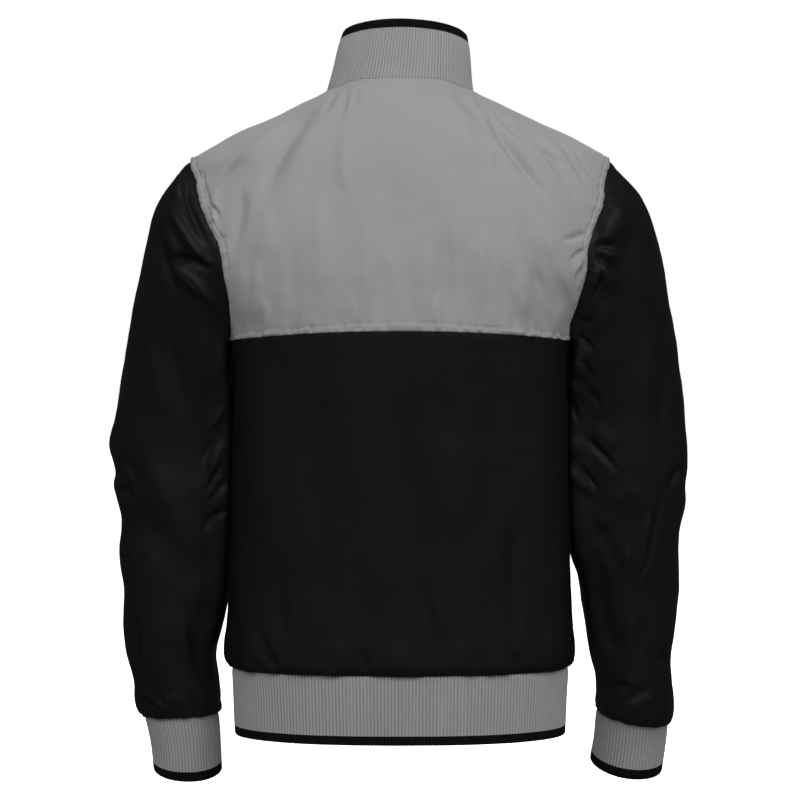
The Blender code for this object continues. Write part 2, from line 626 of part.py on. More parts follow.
def build_front(name, side, material):
    armpit = (ARMPIT - HEM_TOP) / (-NECK_FALL - HEM_TOP)   # share of the height below the armpit
    neck = 0.42           # share of the upper edge that the neckline takes
    centre = -0.25 + math.asin(FRONT_OPENING / NECK_HALF_WIDTH) / math.tau
    seam_end = armhole_place(1, shoulder_turn())

    def neck_turn(share):
        return centre + (-NECK_SEAM_TURN - centre) * share

    def high(u):
        return along([
            (neck, lambda share: neck_place(neck_turn(share))),
            (1.0, lambda share: blend(neck_place(-NECK_SEAM_TURN), seam_end, share))], u)

    def low(u):
        return angle_at_x(FRONT_OPENING, HEM_TOP, False) * (1.0 - u), HEM_TOP

    def first(v):
        height = HEM_TOP + (neck_point(centre).z - HEM_TOP) * v
        return angle_at_x(FRONT_OPENING, height, False), height

    def last(v):
        if v < armpit:
            return 0.0, HEM_TOP + (ARMPIT - HEM_TOP) * v / armpit
        return armhole_place(1, 1.0 + (shoulder_turn() - 1.0) * (v - armpit) / (1.0 - armpit))

    def lift(u):
        return neck_lift(neck_turn(min(u / neck, 1.0))) * smooth_step(1.0 - max(u - neck, 0.0) * 6.0)

    across = even(0.0, neck, NECK_FRONT_COLUMNS) + even(neck, 1.0, SHOULDER_COLUMNS) + [1.0]
    upward = even(0.0, armpit, FRONT_LOW_LEVELS) + even(armpit, 1.0, FRONT_HIGH_LEVELS) + [1.0]
    build_patch(name, (low, high, first, last), (across, upward), lift, False, material, side)


def sleeve_turns(side):
    """Where the sleeve's columns start: the points of the pieces round the armhole."""
    corner, seam = corner_turn(side), shoulder_turn()
    return (even(0.0, corner, UNDER_COLUMNS) + even(corner, seam, YOKE_LEVELS)
            + even(seam, 1.0, FRONT_HIGH_LEVELS))


def ring_point(row, turn, side):
    """A point of a sleeve's section: turn 0 is beside the body and a quarter is behind."""
    angle = turn * math.tau
    power = 2.0 / row.squareness
    across = -signed_power(math.cos(angle), power) / 2.0
    deep = row.half_depth * signed_power(math.sin(angle), power)
    return Vector((side * ((row.inner_x + row.outer_x) / 2.0 + across * (row.outer_x - row.inner_x)),
                   row.middle + deep,
                   (row.inner_z + row.outer_z) / 2.0 + across * (row.outer_z - row.inner_z)
                   - row.fall * deep))


def sleeve_start(side, turns, row):
    """The sleeve's points at the armhole, far enough out that its wall clears the torso's wall."""
    points = []
    for turn in turns:
        here = torso_point(*armhole_place(side, turn))
        along_edge = (torso_point(*armhole_place(side, turn + 0.005))
                      - torso_point(*armhole_place(side, turn - 0.005))).normalized()
        torso_out = surface_normal(*armhole_place(side, turn))
        away = side * torso_out.cross(along_edge).normalized()
        toward = (ring_point(row, turn, side) - here).normalized()
        sleeve_out = side * along_edge.cross(toward).normalized()
        if toward.dot(away) > 0.3:
            step = (SEAM_GAP + CLOTH * max(0.0, sleeve_out.dot(away))) / toward.dot(away)
            points.append(here + toward * max(SEAM_GAP, step))
        else:
            points.append(here + (toward + 2.0 * torso_out) * SEAM_GAP)
    return points


def build_sleeve(name, side, rows, material):
    """From the armhole to the cuff, through the sections."""
    turns = sleeve_turns(side)
    count = len(turns)
    rings = [sleeve_start(side, turns, rows[0])] + [[ring_point(row, turn, side) for turn in turns]
                                                    for row in rows]
    places = list(range(len(rings)))
    points = []
    for level in range(SLEEVE_LEVELS + 1):
        place = (len(rings) - 1) * level / SLEEVE_LEVELS
        ring = [Vector(read_table(places, [step[column][axis] for step in rings], place) for axis in range(3))
                for column in range(count)]
        middle = sum(ring, Vector()) / count
        free = smooth_step(level / 2.0) * smooth_step((SLEEVE_LEVELS - level) / 3.0)
        points.append([point + (point - middle).normalized()
                       * fold_rise(name, point, point.y > middle.y) * free for point in ring][::side])
    normals = []
    for level, ring in enumerate(points):
        above, below = points[max(level - 1, 0)], points[min(level + 1, SLEEVE_LEVELS)]
        normals.append([(ring[(column + 1) % count] - ring[column - 1]).cross(
            below[column] - above[column]).normalized() for column in range(count)])
    add_object(name, wall_mesh(name, points, normals, closed=True), material)


def even_ring(curve, count, closed):
    """Points at even steps along a curve of 0 to 1."""
    fine = 600
    samples = [curve(step / fine) for step in range(fine + 1)]
    lengths = [0.0]
    for before, after in zip(samples, samples[1:]):
        lengths.append(lengths[-1] + (after - before).length)
    points = []
    for step in range(count if closed else count + 1):
        wanted = lengths[-1] * step / count
        index = min(bisect.bisect_right(lengths, wanted), fine) - 1
        share = (wanted - lengths[index]) / (lengths[index + 1] - lengths[index])
        points.append(samples[index].lerp(samples[index + 1], share))
    return points


def ring_normals(points, closed):
    """Level directions out of a ring of points."""
    middle = sum(points, Vector()) / len(points)
    last = len(points) - 1
    normals = []
    for index, point in enumerate(points):
        before = points[index - 1] if closed or index > 0 else point
        after = points[(index + 1) % len(points)] if closed or index < last else point
        normal = (after - before).cross(Vector((0.0, 0.0, 1.0))).normalized()
        normals.append(normal if normal.dot(point - middle) > 0.0 else -normal)
    return normals


def build_ribs(name, curves, ribs, closed, tip_level, materials):
    """A rib knit wall through level curves: ribs outside, plain inside, black beyond one level."""
    count = 2 * ribs
    outer_rows, inner_rows = [], []
    for curve in curves:
        points = even_ring(curve, count, closed)
        normals = ring_normals(points, closed)
        outer_rows.append([point + normal * (0.0 if index % 2 else RIB_RISE) - normal * RIB_RISE
                           for index, (point, normal) in enumerate(zip(points, normals))])
        inner_rows.append([points[index] - normals[index] * KNIT
                           for index in range(0, len(points), OUTER_STEPS)])
    mesh = bmesh.new()
    outer = [[mesh.verts.new(point) for point in row] for row in outer_rows]
    inner = [[mesh.verts.new(point) for point in row] for row in inner_rows]

    def wall(rows):
        width = len(rows[0])
        for level in range(len(rows) - 1):
            for column in range(width if closed else width - 1):
                after = (column + 1) % width
                face = mesh.faces.new((rows[level][column], rows[level][after],
                                       rows[level + 1][after], rows[level + 1][column]))
                face.material_index = 1 if level >= tip_level else 0

    def rim(fine_row, coarse_row, slot):
        half = OUTER_STEPS // 2
        for column in range(len(coarse_row) if closed else len(coarse_row) - 1):
            here, there = coarse_row[column], coarse_row[(column + 1) % len(coarse_row)]
            fine = [fine_row[(column * OUTER_STEPS + step) % len(fine_row)]
                    for step in range(OUTER_STEPS + 1)]
            for step in range(OUTER_STEPS):
                corner = here if step < half else there
                mesh.faces.new((fine[step], fine[step + 1], corner)).material_index = slot
            mesh.faces.new((fine[half], there, here)).material_index = slot

    wall(outer)
    wall(inner)
    rim(outer[0], inner[0], 0)
    rim(outer[-1], inner[-1], 1)
    if not closed:
        for column in (0, -1):
            for level in range(len(curves) - 1):
                face = mesh.faces.new((outer[level][column], outer[level + 1][column],
                                       inner[level + 1][column], inner[level][column]))
                face.material_index = 1 if level >= tip_level else 0
    bmesh.ops.recalc_face_normals(mesh, faces=mesh.faces)
    data = bpy.data.meshes.new(name)
    mesh.to_mesh(data)
    mesh.free()
    return add_object(name, data, *materials)


def band_curve(height):
    """Once round the hem band from one front edge to the other."""
    start = angle_at_x(FRONT_OPENING, height, False)
    end = math.pi - start
    return lambda share: torso_point(start + (end - start) * share, height)


def build_hem_band(materials):
    heights = (HEM_TOP - SEAM_GAP, HEM_BOTTOM + TIP_HEIGHT, HEM_BOTTOM)
    build_ribs("hem_band", [band_curve(height) for height in heights], HEM_RIBS, False, 1, materials)


def collar_top(angle):
    """Height of the collar's free edge."""
    rise = math.sin(angle)
    far = COLLAR_TOP_BACK if rise >= 0.0 else COLLAR_TOP_FRONT
    return COLLAR_TOP_SIDE + (far - COLLAR_TOP_SIDE) * abs(rise) + COLLAR_TOP_LEAN * math.cos(angle)


def collar_point(share, angle):
    """A point of the collar, at a share of its height."""
    places = [row.share for row in COLLAR]
    half_width, back, front, lean, squareness = (
        read_table(places, [row[column] for row in COLLAR], share) for column in range(1, 6))
    power = 2.0 / squareness
    depth = back if math.sin(angle) >= 0.0 else front
    base = neck_point(angle / math.tau).z + SEAM_GAP
    lean *= smooth_step((math.sin(angle) + 1.0) / 1.2)   # the front edges stay on the centre line
    return Vector((lean + half_width * signed_power(math.cos(angle), power),
                   depth * signed_power(math.sin(angle), power),
                   base + (collar_top(angle) - base) * share))


def collar_curve(share):
    """Once round the collar, clear of the centre front."""
    start = -math.acos(FRONT_OPENING / NECK_HALF_WIDTH)
    end = math.pi - start

    def curve(place):
        return collar_point(share, start + (end - start) * place)
    return curve


def build_collar(materials):
    tip = 1.0 - TIP_HEIGHT / (COLLAR_TOP_BACK - NECK_RISE)
    build_ribs("collar", [collar_curve(share) for share in (0.0, tip, 1.0)], COLLAR_RIBS, False, 1, materials)


def build_cuff(name, side, rows, materials):
    """The cuff's levels: sewn edge, middle, where the stripe starts, free edge."""
    drop = abs(rows[2].inner_z - rows[1].inner_z)
    tip = 2.0 - TIP_HEIGHT / drop
    places = list(range(len(rows)))

    def curve_at(place):
        row = Ring(*(read_table(places, [step[column] for step in rows], place) for column in range(8)))
        return lambda share: ring_point(row, share, side)

    curves = [curve_at(place) for place in (0.0, 1.0, tip, 2.0)]
    build_ribs(name, curves, CUFF_RIBS, True, 2, materials)


def zip_path():
    """Depth and height of the cloth's outer face on the centre line, from the hem up."""
    path = []
    height = HEM_BOTTOM
    while height < -NECK_FALL - 0.004:
        path.append(Vector((0.0, -section_at(height).front, height)))
        height += ZIP_SPACING
    for share in (0.0, 0.25, 0.5, 0.75, 1.0):
        point = collar_point(share, -math.pi / 2.0)
        path.append(Vector((0.0, point.y, point.z)))
    return path


def path_frame(path, index):
    """The direction up along the path and the direction out of the cloth."""
    before, after = path[max(index - 1, 0)], path[min(index + 1, len(path) - 1)]
    upward = (after - before).normalized()
    return upward, upward.cross(Vector((-1.0, 0.0, 0.0))).normalized()


def path_place(path, length):
    """Point, direction up and direction out at a length along the path."""
    for index in range(len(path) - 1):
        step = (path[index + 1] - path[index]).length
        if length <= step or index == len(path) - 2:
            share = length / step
            point = path[index].lerp(path[index + 1], share)
            low, high = path_frame(path, index), path_frame(path, index + 1)
            return (point, low[0].lerp(high[0], share).normalized(),
                    low[1].lerp(high[1], share).normalized())
        length -= step
    return None


def build_zip_tape(path, material):
    """The two tapes and the closed chain, in one strip behind the fronts' edges."""
    chain = TAPE_DEPTH + CHAIN_PROUD
    outline = [(-TAPE_HALF_WIDTH, -TAPE_THICK), (TAPE_HALF_WIDTH, -TAPE_THICK), (TAPE_HALF_WIDTH, 0.0),
               (CHAIN_HALF_WIDTH, 0.0), (CHAIN_HALF_WIDTH, chain), (-CHAIN_HALF_WIDTH, chain),
               (-CHAIN_HALF_WIDTH, 0.0), (-TAPE_HALF_WIDTH, 0.0)]
    total = sum((after - before).length for before, after in zip(path, path[1:]))
    start, end = BOX_HEIGHT + SEAM_GAP, total - 0.003
    sections = round((end - start) / ZIP_SPACING * 1.4)
    mesh = bmesh.new()
    rings = []
    for step in range(sections + 1):
        point, _, outward = path_place(path, start + (end - start) * step / sections)
        rings.append([mesh.verts.new(point + Vector((x, 0.0, 0.0)) + outward * (depth - TAPE_DEPTH))
                      for x, depth in outline])
    count = len(outline)
    for low, high in zip(rings, rings[1:]):
        for corner in range(count):
            after = (corner + 1) % count
            mesh.faces.new((low[corner], low[after], high[after], high[corner]))
    mesh.faces.new(rings[0])
    mesh.faces.new(rings[-1])
    bmesh.ops.recalc_face_normals(mesh, faces=mesh.faces)
    data = bpy.data.meshes.new("zip_tape")
    mesh.to_mesh(data)
    mesh.free()
    add_object("zip_tape", data, material)


def local_frame(point, upward, outward):
    """A frame whose y points out of the cloth and whose z points up along the zip."""
    across = outward.cross(upward).normalized()
    frame = Matrix((across, outward, upward)).transposed().to_4x4()
    frame.translation = point
    return frame


def block(name, low, high, bevel=0.0):
    """A box between two corners, with its edges rounded."""
    mesh = bmesh.new()
    bmesh.ops.create_cube(mesh, size=1.0)
    centre = [(a + b) / 2.0 for a, b in zip(low, high)]
    size = [b - a for a, b in zip(low, high)]
    bmesh.ops.scale(mesh, vec=size, verts=mesh.verts)
    bmesh.ops.translate(mesh, vec=centre, verts=mesh.verts)
    if bevel > 0.0:
        bmesh.ops.bevel(mesh, geom=mesh.edges[:], offset=bevel, segments=1, affect="EDGES")
    data = bpy.data.meshes.new(name)
    mesh.to_mesh(data)
    mesh.free()
    return data


def cutter(name, data, frame):
    obj = bpy.data.objects.new(name, data)
    bpy.data.collections["cutters"].objects.link(obj)
    obj.matrix_world = frame
    obj.hide_render = True
    obj.display_type = "WIRE"
    return obj


def combine(obj, other, operation):
    modifier = obj.modifiers.new(operation.lower(), "BOOLEAN")
    modifier.operation = operation
    modifier.object = other


def build_slider(path, total, material):
    """Slider body before the chain, its lips round the chain's sides, and its bail."""
    point, upward, outward = path_place(path, total - SLIDER_BELOW_TOP)
    frame = local_frame(point, upward, outward)
    face = CHAIN_PROUD + SEAM_GAP
    front = face + SLIDER_THICK
    half = SLIDER_WIDTH / 2.0
    tall = SLIDER_HEIGHT / 2.0
    obj = add_object("zip_slider", block("zip_slider", (-half, face, -tall), (half, front, tall), 0.0005), material)
    obj.matrix_world = frame
    lip = half - CHAIN_HALF_WIDTH - SEAM_GAP
    for side in (-1, 1):
        edge = side * half
        inner = side * (half - lip)
        low, high = (min(edge, inner), -0.0025, -tall * 0.8), (max(edge, inner), face + 0.001, tall * 0.8)
        combine(obj, cutter("slider_lip", block("slider_lip", low, high), frame), "UNION")
    span = BAIL_SPAN / 2.0
    rise = front + BAIL_RISE
    bail = cutter("slider_bail", block("slider_bail", (-BAIL_WIDTH / 2.0, front - 0.0008, -span),
                                       (BAIL_WIDTH / 2.0, rise, span), 0.0004), frame)
    window = cutter("bail_window", block("bail_window", (-BAIL_WIDTH, front, -span + BAIL_THICK),
                                         (BAIL_WIDTH, rise - BAIL_THICK, span - BAIL_THICK)), frame)
    combine(bail, window, "DIFFERENCE")
    combine(obj, bail, "UNION")
    return frame, (front + rise - BAIL_THICK) / 2.0


def build_pull_tab(frame, pivot_depth, material):
    """The tab hangs from the bail by the bar above its slot, and turns about that bar."""
    pivot = frame @ Vector((0.0, pivot_depth, 0.0))
    hinge = frame.copy()
    hinge.translation = pivot
    half, thick = TAB_WIDTH / 2.0, TAB_THICK / 2.0
    top = TAB_BAR / 2.0
    obj = add_object("zip_pull_tab", block("zip_pull_tab", (-half, -thick, top - TAB_LENGTH),
                                           (half, thick, top), 0.0003), material)
    obj.matrix_world = hinge
    slot = cutter("tab_slot", block("tab_slot", (-TAB_SLOT_WIDTH / 2.0, -0.002, -top - TAB_SLOT_LENGTH),
                                    (TAB_SLOT_WIDTH / 2.0, 0.002, -top)), hinge)
    combine(obj, slot, "DIFFERENCE")


def build_zip_box(path, material):
    point, upward, outward = path_place(path, BOX_HEIGHT / 2.0)
    half = BOX_WIDTH / 2.0
    obj = add_object("zip_box", block("zip_box", (-half, CHAIN_PROUD + 0.0004 - BOX_THICK, -BOX_HEIGHT / 2.0),
                                      (half, CHAIN_PROUD + 0.0004, BOX_HEIGHT / 2.0), 0.0005), material)
    obj.matrix_world = local_frame(point, upward, outward)


def build():
    for obj in list(bpy.data.objects):
        bpy.data.objects.remove(obj)
    for name in (COLLECTION, "cutters"):
        bpy.context.scene.collection.children.link(bpy.data.collections.new(name))
    yoke_cloth = build_material("yoke_cloth", (0.279, 0.279, 0.283), 0.55, sheen=0.3)
    body_cloth = build_material("body_cloth", (0.010, 0.010, 0.010), 0.75)
    sleeve_cloth = build_material("sleeve_cloth", (0.012, 0.0125, 0.012), 0.45, sheen=0.2)
    rib_grey = build_material("rib_grey", (0.240, 0.240, 0.245), 0.85)
    rib_black = build_material("rib_black", (0.008, 0.008, 0.008), 0.85)
    zip_black = build_material("zip_black", (0.010, 0.010, 0.010), 0.6)
    metal = build_material("zip_metal", (0.30, 0.30, 0.31), 0.35, metallic=1.0)

    build_yoke(yoke_cloth)
    build_back(body_cloth)
    build_front("front_left", 1, body_cloth)
    build_front("front_right", -1, body_cloth)
    build_sleeve("sleeve_left", 1, SLEEVE_LEFT, sleeve_cloth)
    build_sleeve("sleeve_right", -1, SLEEVE_RIGHT, sleeve_cloth)
    build_collar((rib_grey, rib_black))
    build_hem_band((rib_grey, rib_black))
    build_cuff("cuff_left", 1, CUFF_LEFT, (rib_grey, rib_black))
    build_cuff("cuff_right", -1, CUFF_RIGHT, (rib_grey, rib_black))
    path = zip_path()
    total = sum((after - before).length for before, after in zip(path, path[1:]))
    build_zip_tape(path, zip_black)
    frame, pivot_depth = build_slider(path, total, metal)
    build_pull_tab(frame, pivot_depth, metal)
    build_zip_box(path, metal)


build()
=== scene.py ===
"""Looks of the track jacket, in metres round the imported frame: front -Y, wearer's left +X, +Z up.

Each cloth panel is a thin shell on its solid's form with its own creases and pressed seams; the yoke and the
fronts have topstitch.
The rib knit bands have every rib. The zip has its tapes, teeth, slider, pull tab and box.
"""

import math
from collections import namedtuple

import bmesh
import bpy
import numpy as np
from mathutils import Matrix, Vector, noise


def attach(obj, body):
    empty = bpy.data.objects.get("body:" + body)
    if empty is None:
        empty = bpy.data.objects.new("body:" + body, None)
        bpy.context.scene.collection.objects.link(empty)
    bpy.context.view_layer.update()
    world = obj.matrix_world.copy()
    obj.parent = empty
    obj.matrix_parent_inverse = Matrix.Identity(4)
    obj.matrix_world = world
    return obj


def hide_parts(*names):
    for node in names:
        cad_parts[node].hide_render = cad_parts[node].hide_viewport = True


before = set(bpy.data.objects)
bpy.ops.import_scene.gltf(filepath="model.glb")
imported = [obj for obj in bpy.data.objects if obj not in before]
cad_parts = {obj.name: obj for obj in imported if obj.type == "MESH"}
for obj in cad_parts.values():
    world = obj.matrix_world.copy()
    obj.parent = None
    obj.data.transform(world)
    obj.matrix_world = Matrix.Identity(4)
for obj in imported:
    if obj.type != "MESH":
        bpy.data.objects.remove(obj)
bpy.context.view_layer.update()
JACKET = "jacket"         # the body that carries everything but the pull tab

# Cloth
WOVEN = 0.0009            # thickness of a woven shell
KNIT = 0.0024             # rib knit at a rib's crest
RIB_DEPTH = 0.0012
RIB_INSIDE = 0.8          # the ribs inside have this share of that depth
RIB_BROAD = 0.62          # a power under 1 broadens the crests
RIB_UNEVEN = 0.14         # ribs differ in depth by up to this share,
GROOVE_UNEVEN = 0.10      # and grooves lie deeper by up to this one
SEAM_SINK = 0.0006        # a seamed edge is pressed in this much,
NECK_SINK = 0.0001        # but hardly where the collar stands on it,
CUFF_SINK = 0.0014        # and more where it is gathered on a cuff
HEM_SINK = 0.0016         # or on the hem band
SEAM_REACH = 0.0020       # the press fades out over about this much cloth
TOPSTITCH_SINK = 0.0004   # a line of topstitch lies in a valley this deep
TOPSTITCH_REACH = 0.0011  # and about this wide on each side
EDGE_PROUD = 0.0007       # an edge turned under stands up this much,
EDGE_SLOPE = 0.0016       # falls over this much cloth
EDGE_SINK = 0.0008        # to its topstitch, which lies this deep
ALLOWANCE = 0.0042        # a sleeve's edge goes on this far under the body's
ALLOWANCE_DEPTH = 0.0034
TUCK_DOWN = 0.0025        # a knitted band goes on this far under the cloth it is sewn to
TUCK_IN = 0.0022
STITCH_LENGTH = 0.0024
STITCH_PITCH = 0.0033
STITCH_RADIUS = 0.00019
STITCH_WIDENED = 1.3      # thread is pressed flat by this much
STITCH_PROUD = 0.35       # and lies this share of its radius above the cloth
STITCH_RINGS = ((-0.5, 0.25), (-0.32, 0.9), (0.0, 1.0), (0.32, 0.9), (0.5, 0.25))
STITCH_SIDES = 5
STITCH_AIM = 0.0005       # a stitch points along its path from this far behind to this far ahead

# Rib knit pieces, as in the solids
COLLAR_RIBS = 128
CUFF_RIBS = 68
HEM_RIBS = 264
TIP_HEIGHT = 0.0095
SEAM_GAP = 0.0003
FRONT_OPENING = 0.006

# Heights
HEM_TOP = -0.636
HEM_BOTTOM = -0.7075
ARMPIT = -0.285
YOKE_CENTRE = -0.2716
YOKE_DROP = 0.008
YOKE_SIDE = 0.185

# Neckline
NECK_HALF_WIDTH = 0.081
NECK_BACK = 0.062
NECK_FRONT = 0.070
NECK_RISE = 0.003
NECK_FALL = 0.038
NECK_DIP = 0.0048         # the seam hangs this much lower over the shoulders
SEAM_FORWARD_NECK = 0.020
SEAM_FORWARD_ARM = 0.030
NECK_LIFT_FROM = 0.6      # share of a panel's height above which it bends to the neckline
HEIGHT_FADE = 2.5         # a panel's side edges hold their heights only near to them

# Torso, a section a row: height, half width, depth behind and before the middle, and how square it
# is near the middle and near the sides (2 is an ellipse)
Section = namedtuple("Section", "height half_width back front square_middle square_side")
TORSO = [Section(*row) for row in (
    (0.0035, 0.08, 0.0612, 0.034, 2.0, 2.0),
    (0.0, 0.0815, 0.0635, 0.038, 2.0, 2.0),
    (-0.02, 0.119, 0.083, 0.059, 2.0, 1.8),
    (-0.04, 0.1595, 0.095, 0.072, 2.0, 1.7),
    (-0.06, 0.1985, 0.1035, 0.084, 2.0, 1.65),
    (-0.079, 0.229, 0.1095, 0.093, 2.0, 1.65),
    (-0.105, 0.239, 0.115, 0.103, 2.1, 1.75),
    (-0.132, 0.242, 0.119, 0.111, 2.2, 2.1),
    (-0.158, 0.24, 0.1215, 0.1165, 2.35, 2.3),
    (-0.18, 0.235, 0.123, 0.12, 2.5, 2.45),
    (-0.208, 0.227, 0.124, 0.1235, 2.5, 2.5),
    (-0.241, 0.207, 0.124, 0.125, 2.45, 2.45),
    (-0.265, 0.193, 0.123, 0.125, 2.4, 2.4),
    (-0.285, 0.187, 0.122, 0.1245, 2.4, 2.4),
    (-0.33, 0.185, 0.1185, 0.123, 2.4, 2.4),
    (-0.4, 0.185, 0.1155, 0.1215, 2.4, 2.4),
    (-0.47, 0.186, 0.1155, 0.121, 2.4, 2.4),
    (-0.55, 0.188, 0.1175, 0.121, 2.4, 2.4),
    (-0.6, 0.1885, 0.1185, 0.1205, 2.4, 2.4),
    (-0.636, 0.185, 0.1175, 0.119, 2.4, 2.4),
    (-0.7075, 0.1815, 0.115, 0.116, 2.4, 2.4),
)]

# The body's cloth blouses over the hem band: height and how far it stands out there
Blouse = namedtuple("Blouse", "height out")
BLOUSE = [Blouse(*row) for row in (
    (-0.55, 0.0),
    (-0.59, 0.0022),
    (-0.615, 0.0055),
    (-0.626, 0.0062),
    (-0.632, 0.0042),
    (-0.636, 0.0),
)]
BLOUSE_START = 0.030      # the zip holds the fronts flat this near to the centre line

# Armhole seen from the side, from the armpit up the back and down the front: depth, height.
# The wearer's left and right differ a little at the back.
Edge = namedtuple("Edge", "left_depth right_depth height")
ARMHOLE = [Edge(*row) for row in (
    (0.0, 0.0, -0.285),
    (0.045, 0.045, -0.267),
    (0.071, 0.061, -0.241),
    (0.083, 0.073, -0.21),
    (0.084, 0.077, -0.183),
    (0.074, 0.07, -0.158),
    (0.056, 0.052, -0.128),
    (0.03, 0.03, -0.097),
    (-0.004, -0.004, -0.079),
    (-0.036, -0.036, -0.094),
    (-0.056, -0.056, -0.126),
    (-0.067, -0.067, -0.158),
    (-0.072, -0.072, -0.188),
    (-0.07, -0.07, -0.218),
    (-0.06, -0.06, -0.246),
    (-0.038, -0.038, -0.27),
)]

# Sleeves, a section a row, from the armhole down: the inner and the outer point in front view, the
# middle's depth, half the section's depth, squareness, and how far it falls behind for its depth
Ring = namedtuple("Ring", "inner_x inner_z outer_x outer_z middle half_depth squareness fall")
SLEEVE_LEFT = [Ring(*row) for row in (
    (0.1895, -0.2925, 0.2442, -0.0943, -0.003, 0.08, 2.1, 0.0),
    (0.19, -0.3, 0.2606, -0.1145, -0.008, 0.08, 2.15, 0.0),
    (0.19, -0.31, 0.2732, -0.1411, -0.013, 0.079, 2.2, 0.0),
    (0.19, -0.324, 0.2823, -0.1749, -0.019, 0.0775, 2.2, 0.0),
    (0.187, -0.342, 0.2905, -0.2149, -0.025, 0.076, 2.2, 0.0),
    (0.186, -0.364, 0.2988, -0.257, -0.03, 0.0735, 2.2, 0.0),
    (0.1855, -0.39, 0.3079, -0.3086, -0.033, 0.071, 2.2, 0.0),
    (0.1855, -0.418, 0.3173, -0.3623, -0.035, 0.069, 2.2, 0.0),
    (0.186, -0.44, 0.323, -0.3907, -0.036, 0.068, 2.2, 0.0),
    (0.1865, -0.462, 0.3168, -0.4211, -0.036, 0.0665, 2.2, 0.0),
    (0.1875, -0.482, 0.3189, -0.4392, -0.036, 0.0655, 2.2, 0.0),
    (0.1885, -0.506, 0.3102, -0.4735, -0.036, 0.064, 2.2, 0.0),
    (0.1895, -0.532, 0.3132, -0.5097, -0.036, 0.062, 2.2, 0.0),
    (0.1925, -0.5652, 0.3087, -0.5508, -0.036, 0.06, 2.2, 0.0),
    (0.1992, -0.6, 0.309, -0.5895, -0.036, 0.0575, 2.2, 0.0),
    (0.2053, -0.6287, 0.3062, -0.6239, -0.036, 0.055, 2.2, 0.0),
    (0.2027, -0.6554, 0.2971, -0.6542, -0.036, 0.0525, 2.2, 0.0),
    (0.2012, -0.6761, 0.2952, -0.6786, -0.036, 0.05, 2.2, 0.01),
    (0.2003, -0.6866, 0.292, -0.6887, -0.036, 0.0475, 2.2, 0.02),
    (0.201, -0.6909, 0.2888, -0.6933, -0.036, 0.0445, 2.15, 0.03),
    (0.2025, -0.6919, 0.2853, -0.6948, -0.036, 0.042, 2.1, 0.03),
)]
SLEEVE_RIGHT = [Ring(*row) for row in (
    (0.1895, -0.2925, 0.2432, -0.0948, -0.003, 0.079, 2.1, 0.0),
    (0.1905, -0.3, 0.2616, -0.1155, -0.008, 0.079, 2.15, 0.0),
    (0.1905, -0.31, 0.2757, -0.1422, -0.013, 0.078, 2.2, 0.0),
    (0.19, -0.324, 0.2864, -0.1759, -0.019, 0.077, 2.2, 0.0),
    (0.187, -0.342, 0.2946, -0.2139, -0.025, 0.0755, 2.2, 0.0),
    (0.186, -0.364, 0.3028, -0.255, -0.03, 0.073, 2.2, 0.0),
    (0.1855, -0.39, 0.3115, -0.3085, -0.034, 0.0705, 2.2, 0.0),
    (0.1855, -0.418, 0.3175, -0.3623, -0.036, 0.069, 2.2, 0.0),
    (0.186, -0.44, 0.3212, -0.411, -0.038, 0.068, 2.2, 0.0),
    (0.187, -0.462, 0.3187, -0.4394, -0.039, 0.0665, 2.2, 0.0),
    (0.1885, -0.49, 0.3183, -0.4596, -0.04, 0.065, 2.2, 0.0),
    (0.1915, -0.515, 0.313, -0.4879, -0.041, 0.0635, 2.2, 0.02),
    (0.1993, -0.541, 0.3116, -0.518, -0.042, 0.0615, 2.2, 0.04),
    (0.2038, -0.5696, 0.3116, -0.5514, -0.043, 0.0595, 2.2, 0.06),
    (0.208, -0.5983, 0.3087, -0.5861, -0.044, 0.057, 2.2, 0.08),
    (0.2121, -0.6272, 0.3046, -0.6228, -0.045, 0.0545, 2.2, 0.11),
    (0.2183, -0.6502, 0.3048, -0.6534, -0.046, 0.052, 2.2, 0.13),
    (0.2203, -0.6691, 0.3064, -0.6819, -0.046, 0.05, 2.2, 0.15),
    (0.2199, -0.6816, 0.3053, -0.6962, -0.046, 0.0475, 2.2, 0.17),
    (0.2198, -0.6875, 0.303, -0.7015, -0.046, 0.0445, 2.15, 0.18),
    (0.221, -0.6897, 0.3, -0.7029, -0.047, 0.042, 2.1, 0.18),
)]

# Cuffs go on from the sleeves' ends with the same columns
CUFF_LEFT = [Ring(*row) for row in (
    (0.2025, -0.6922, 0.2853, -0.6951, -0.036, 0.042, 2.1, 0.03),
    (0.2004, -0.719, 0.279, -0.7206, -0.039, 0.0405, 2.1, 0.14),
    (0.1992, -0.7555, 0.276, -0.7525, -0.043, 0.0395, 2.1, 0.27),
)]
CUFF_RIGHT = [Ring(*row) for row in (
    (0.221, -0.69, 0.3, -0.7032, -0.047, 0.042, 2.1, 0.18),
    (0.2185, -0.718, 0.2985, -0.7264, -0.055, 0.0405, 2.1, 0.24),
    (0.2145, -0.747, 0.2955, -0.756, -0.062, 0.04, 2.1, 0.33),
)]

# Collar: share of its height, half width, depth behind and before, sideways lean, squareness
Band = namedtuple("Band", "share half_width back front lean squareness")
COLLAR = [Band(*row) for row in (
    (0.0, NECK_HALF_WIDTH, NECK_BACK, NECK_FRONT, 0.0, 2.0),
    (0.25, 0.0778, 0.058, 0.069, -0.0016, 2.05),
    (0.5, 0.0755, 0.0548, 0.0675, -0.0028, 2.1),
    (0.75, 0.073, 0.0515, 0.066, -0.004, 2.1),
    (1.0, 0.069, 0.0475, 0.064, -0.0055, 2.1),
)]
COLLAR_TOP_BACK = 0.0688
COLLAR_TOP_SIDE = 0.0565
COLLAR_TOP_FRONT = 0.0300
COLLAR_TOP_LEAN = 0.0018      # the wearer's left side stands this much over the middle

# Steps to either side of a place, to find a direction there
TURN_STEP = 0.005
ANGLE_STEP = 0.02
SIDE_STEP = 0.004

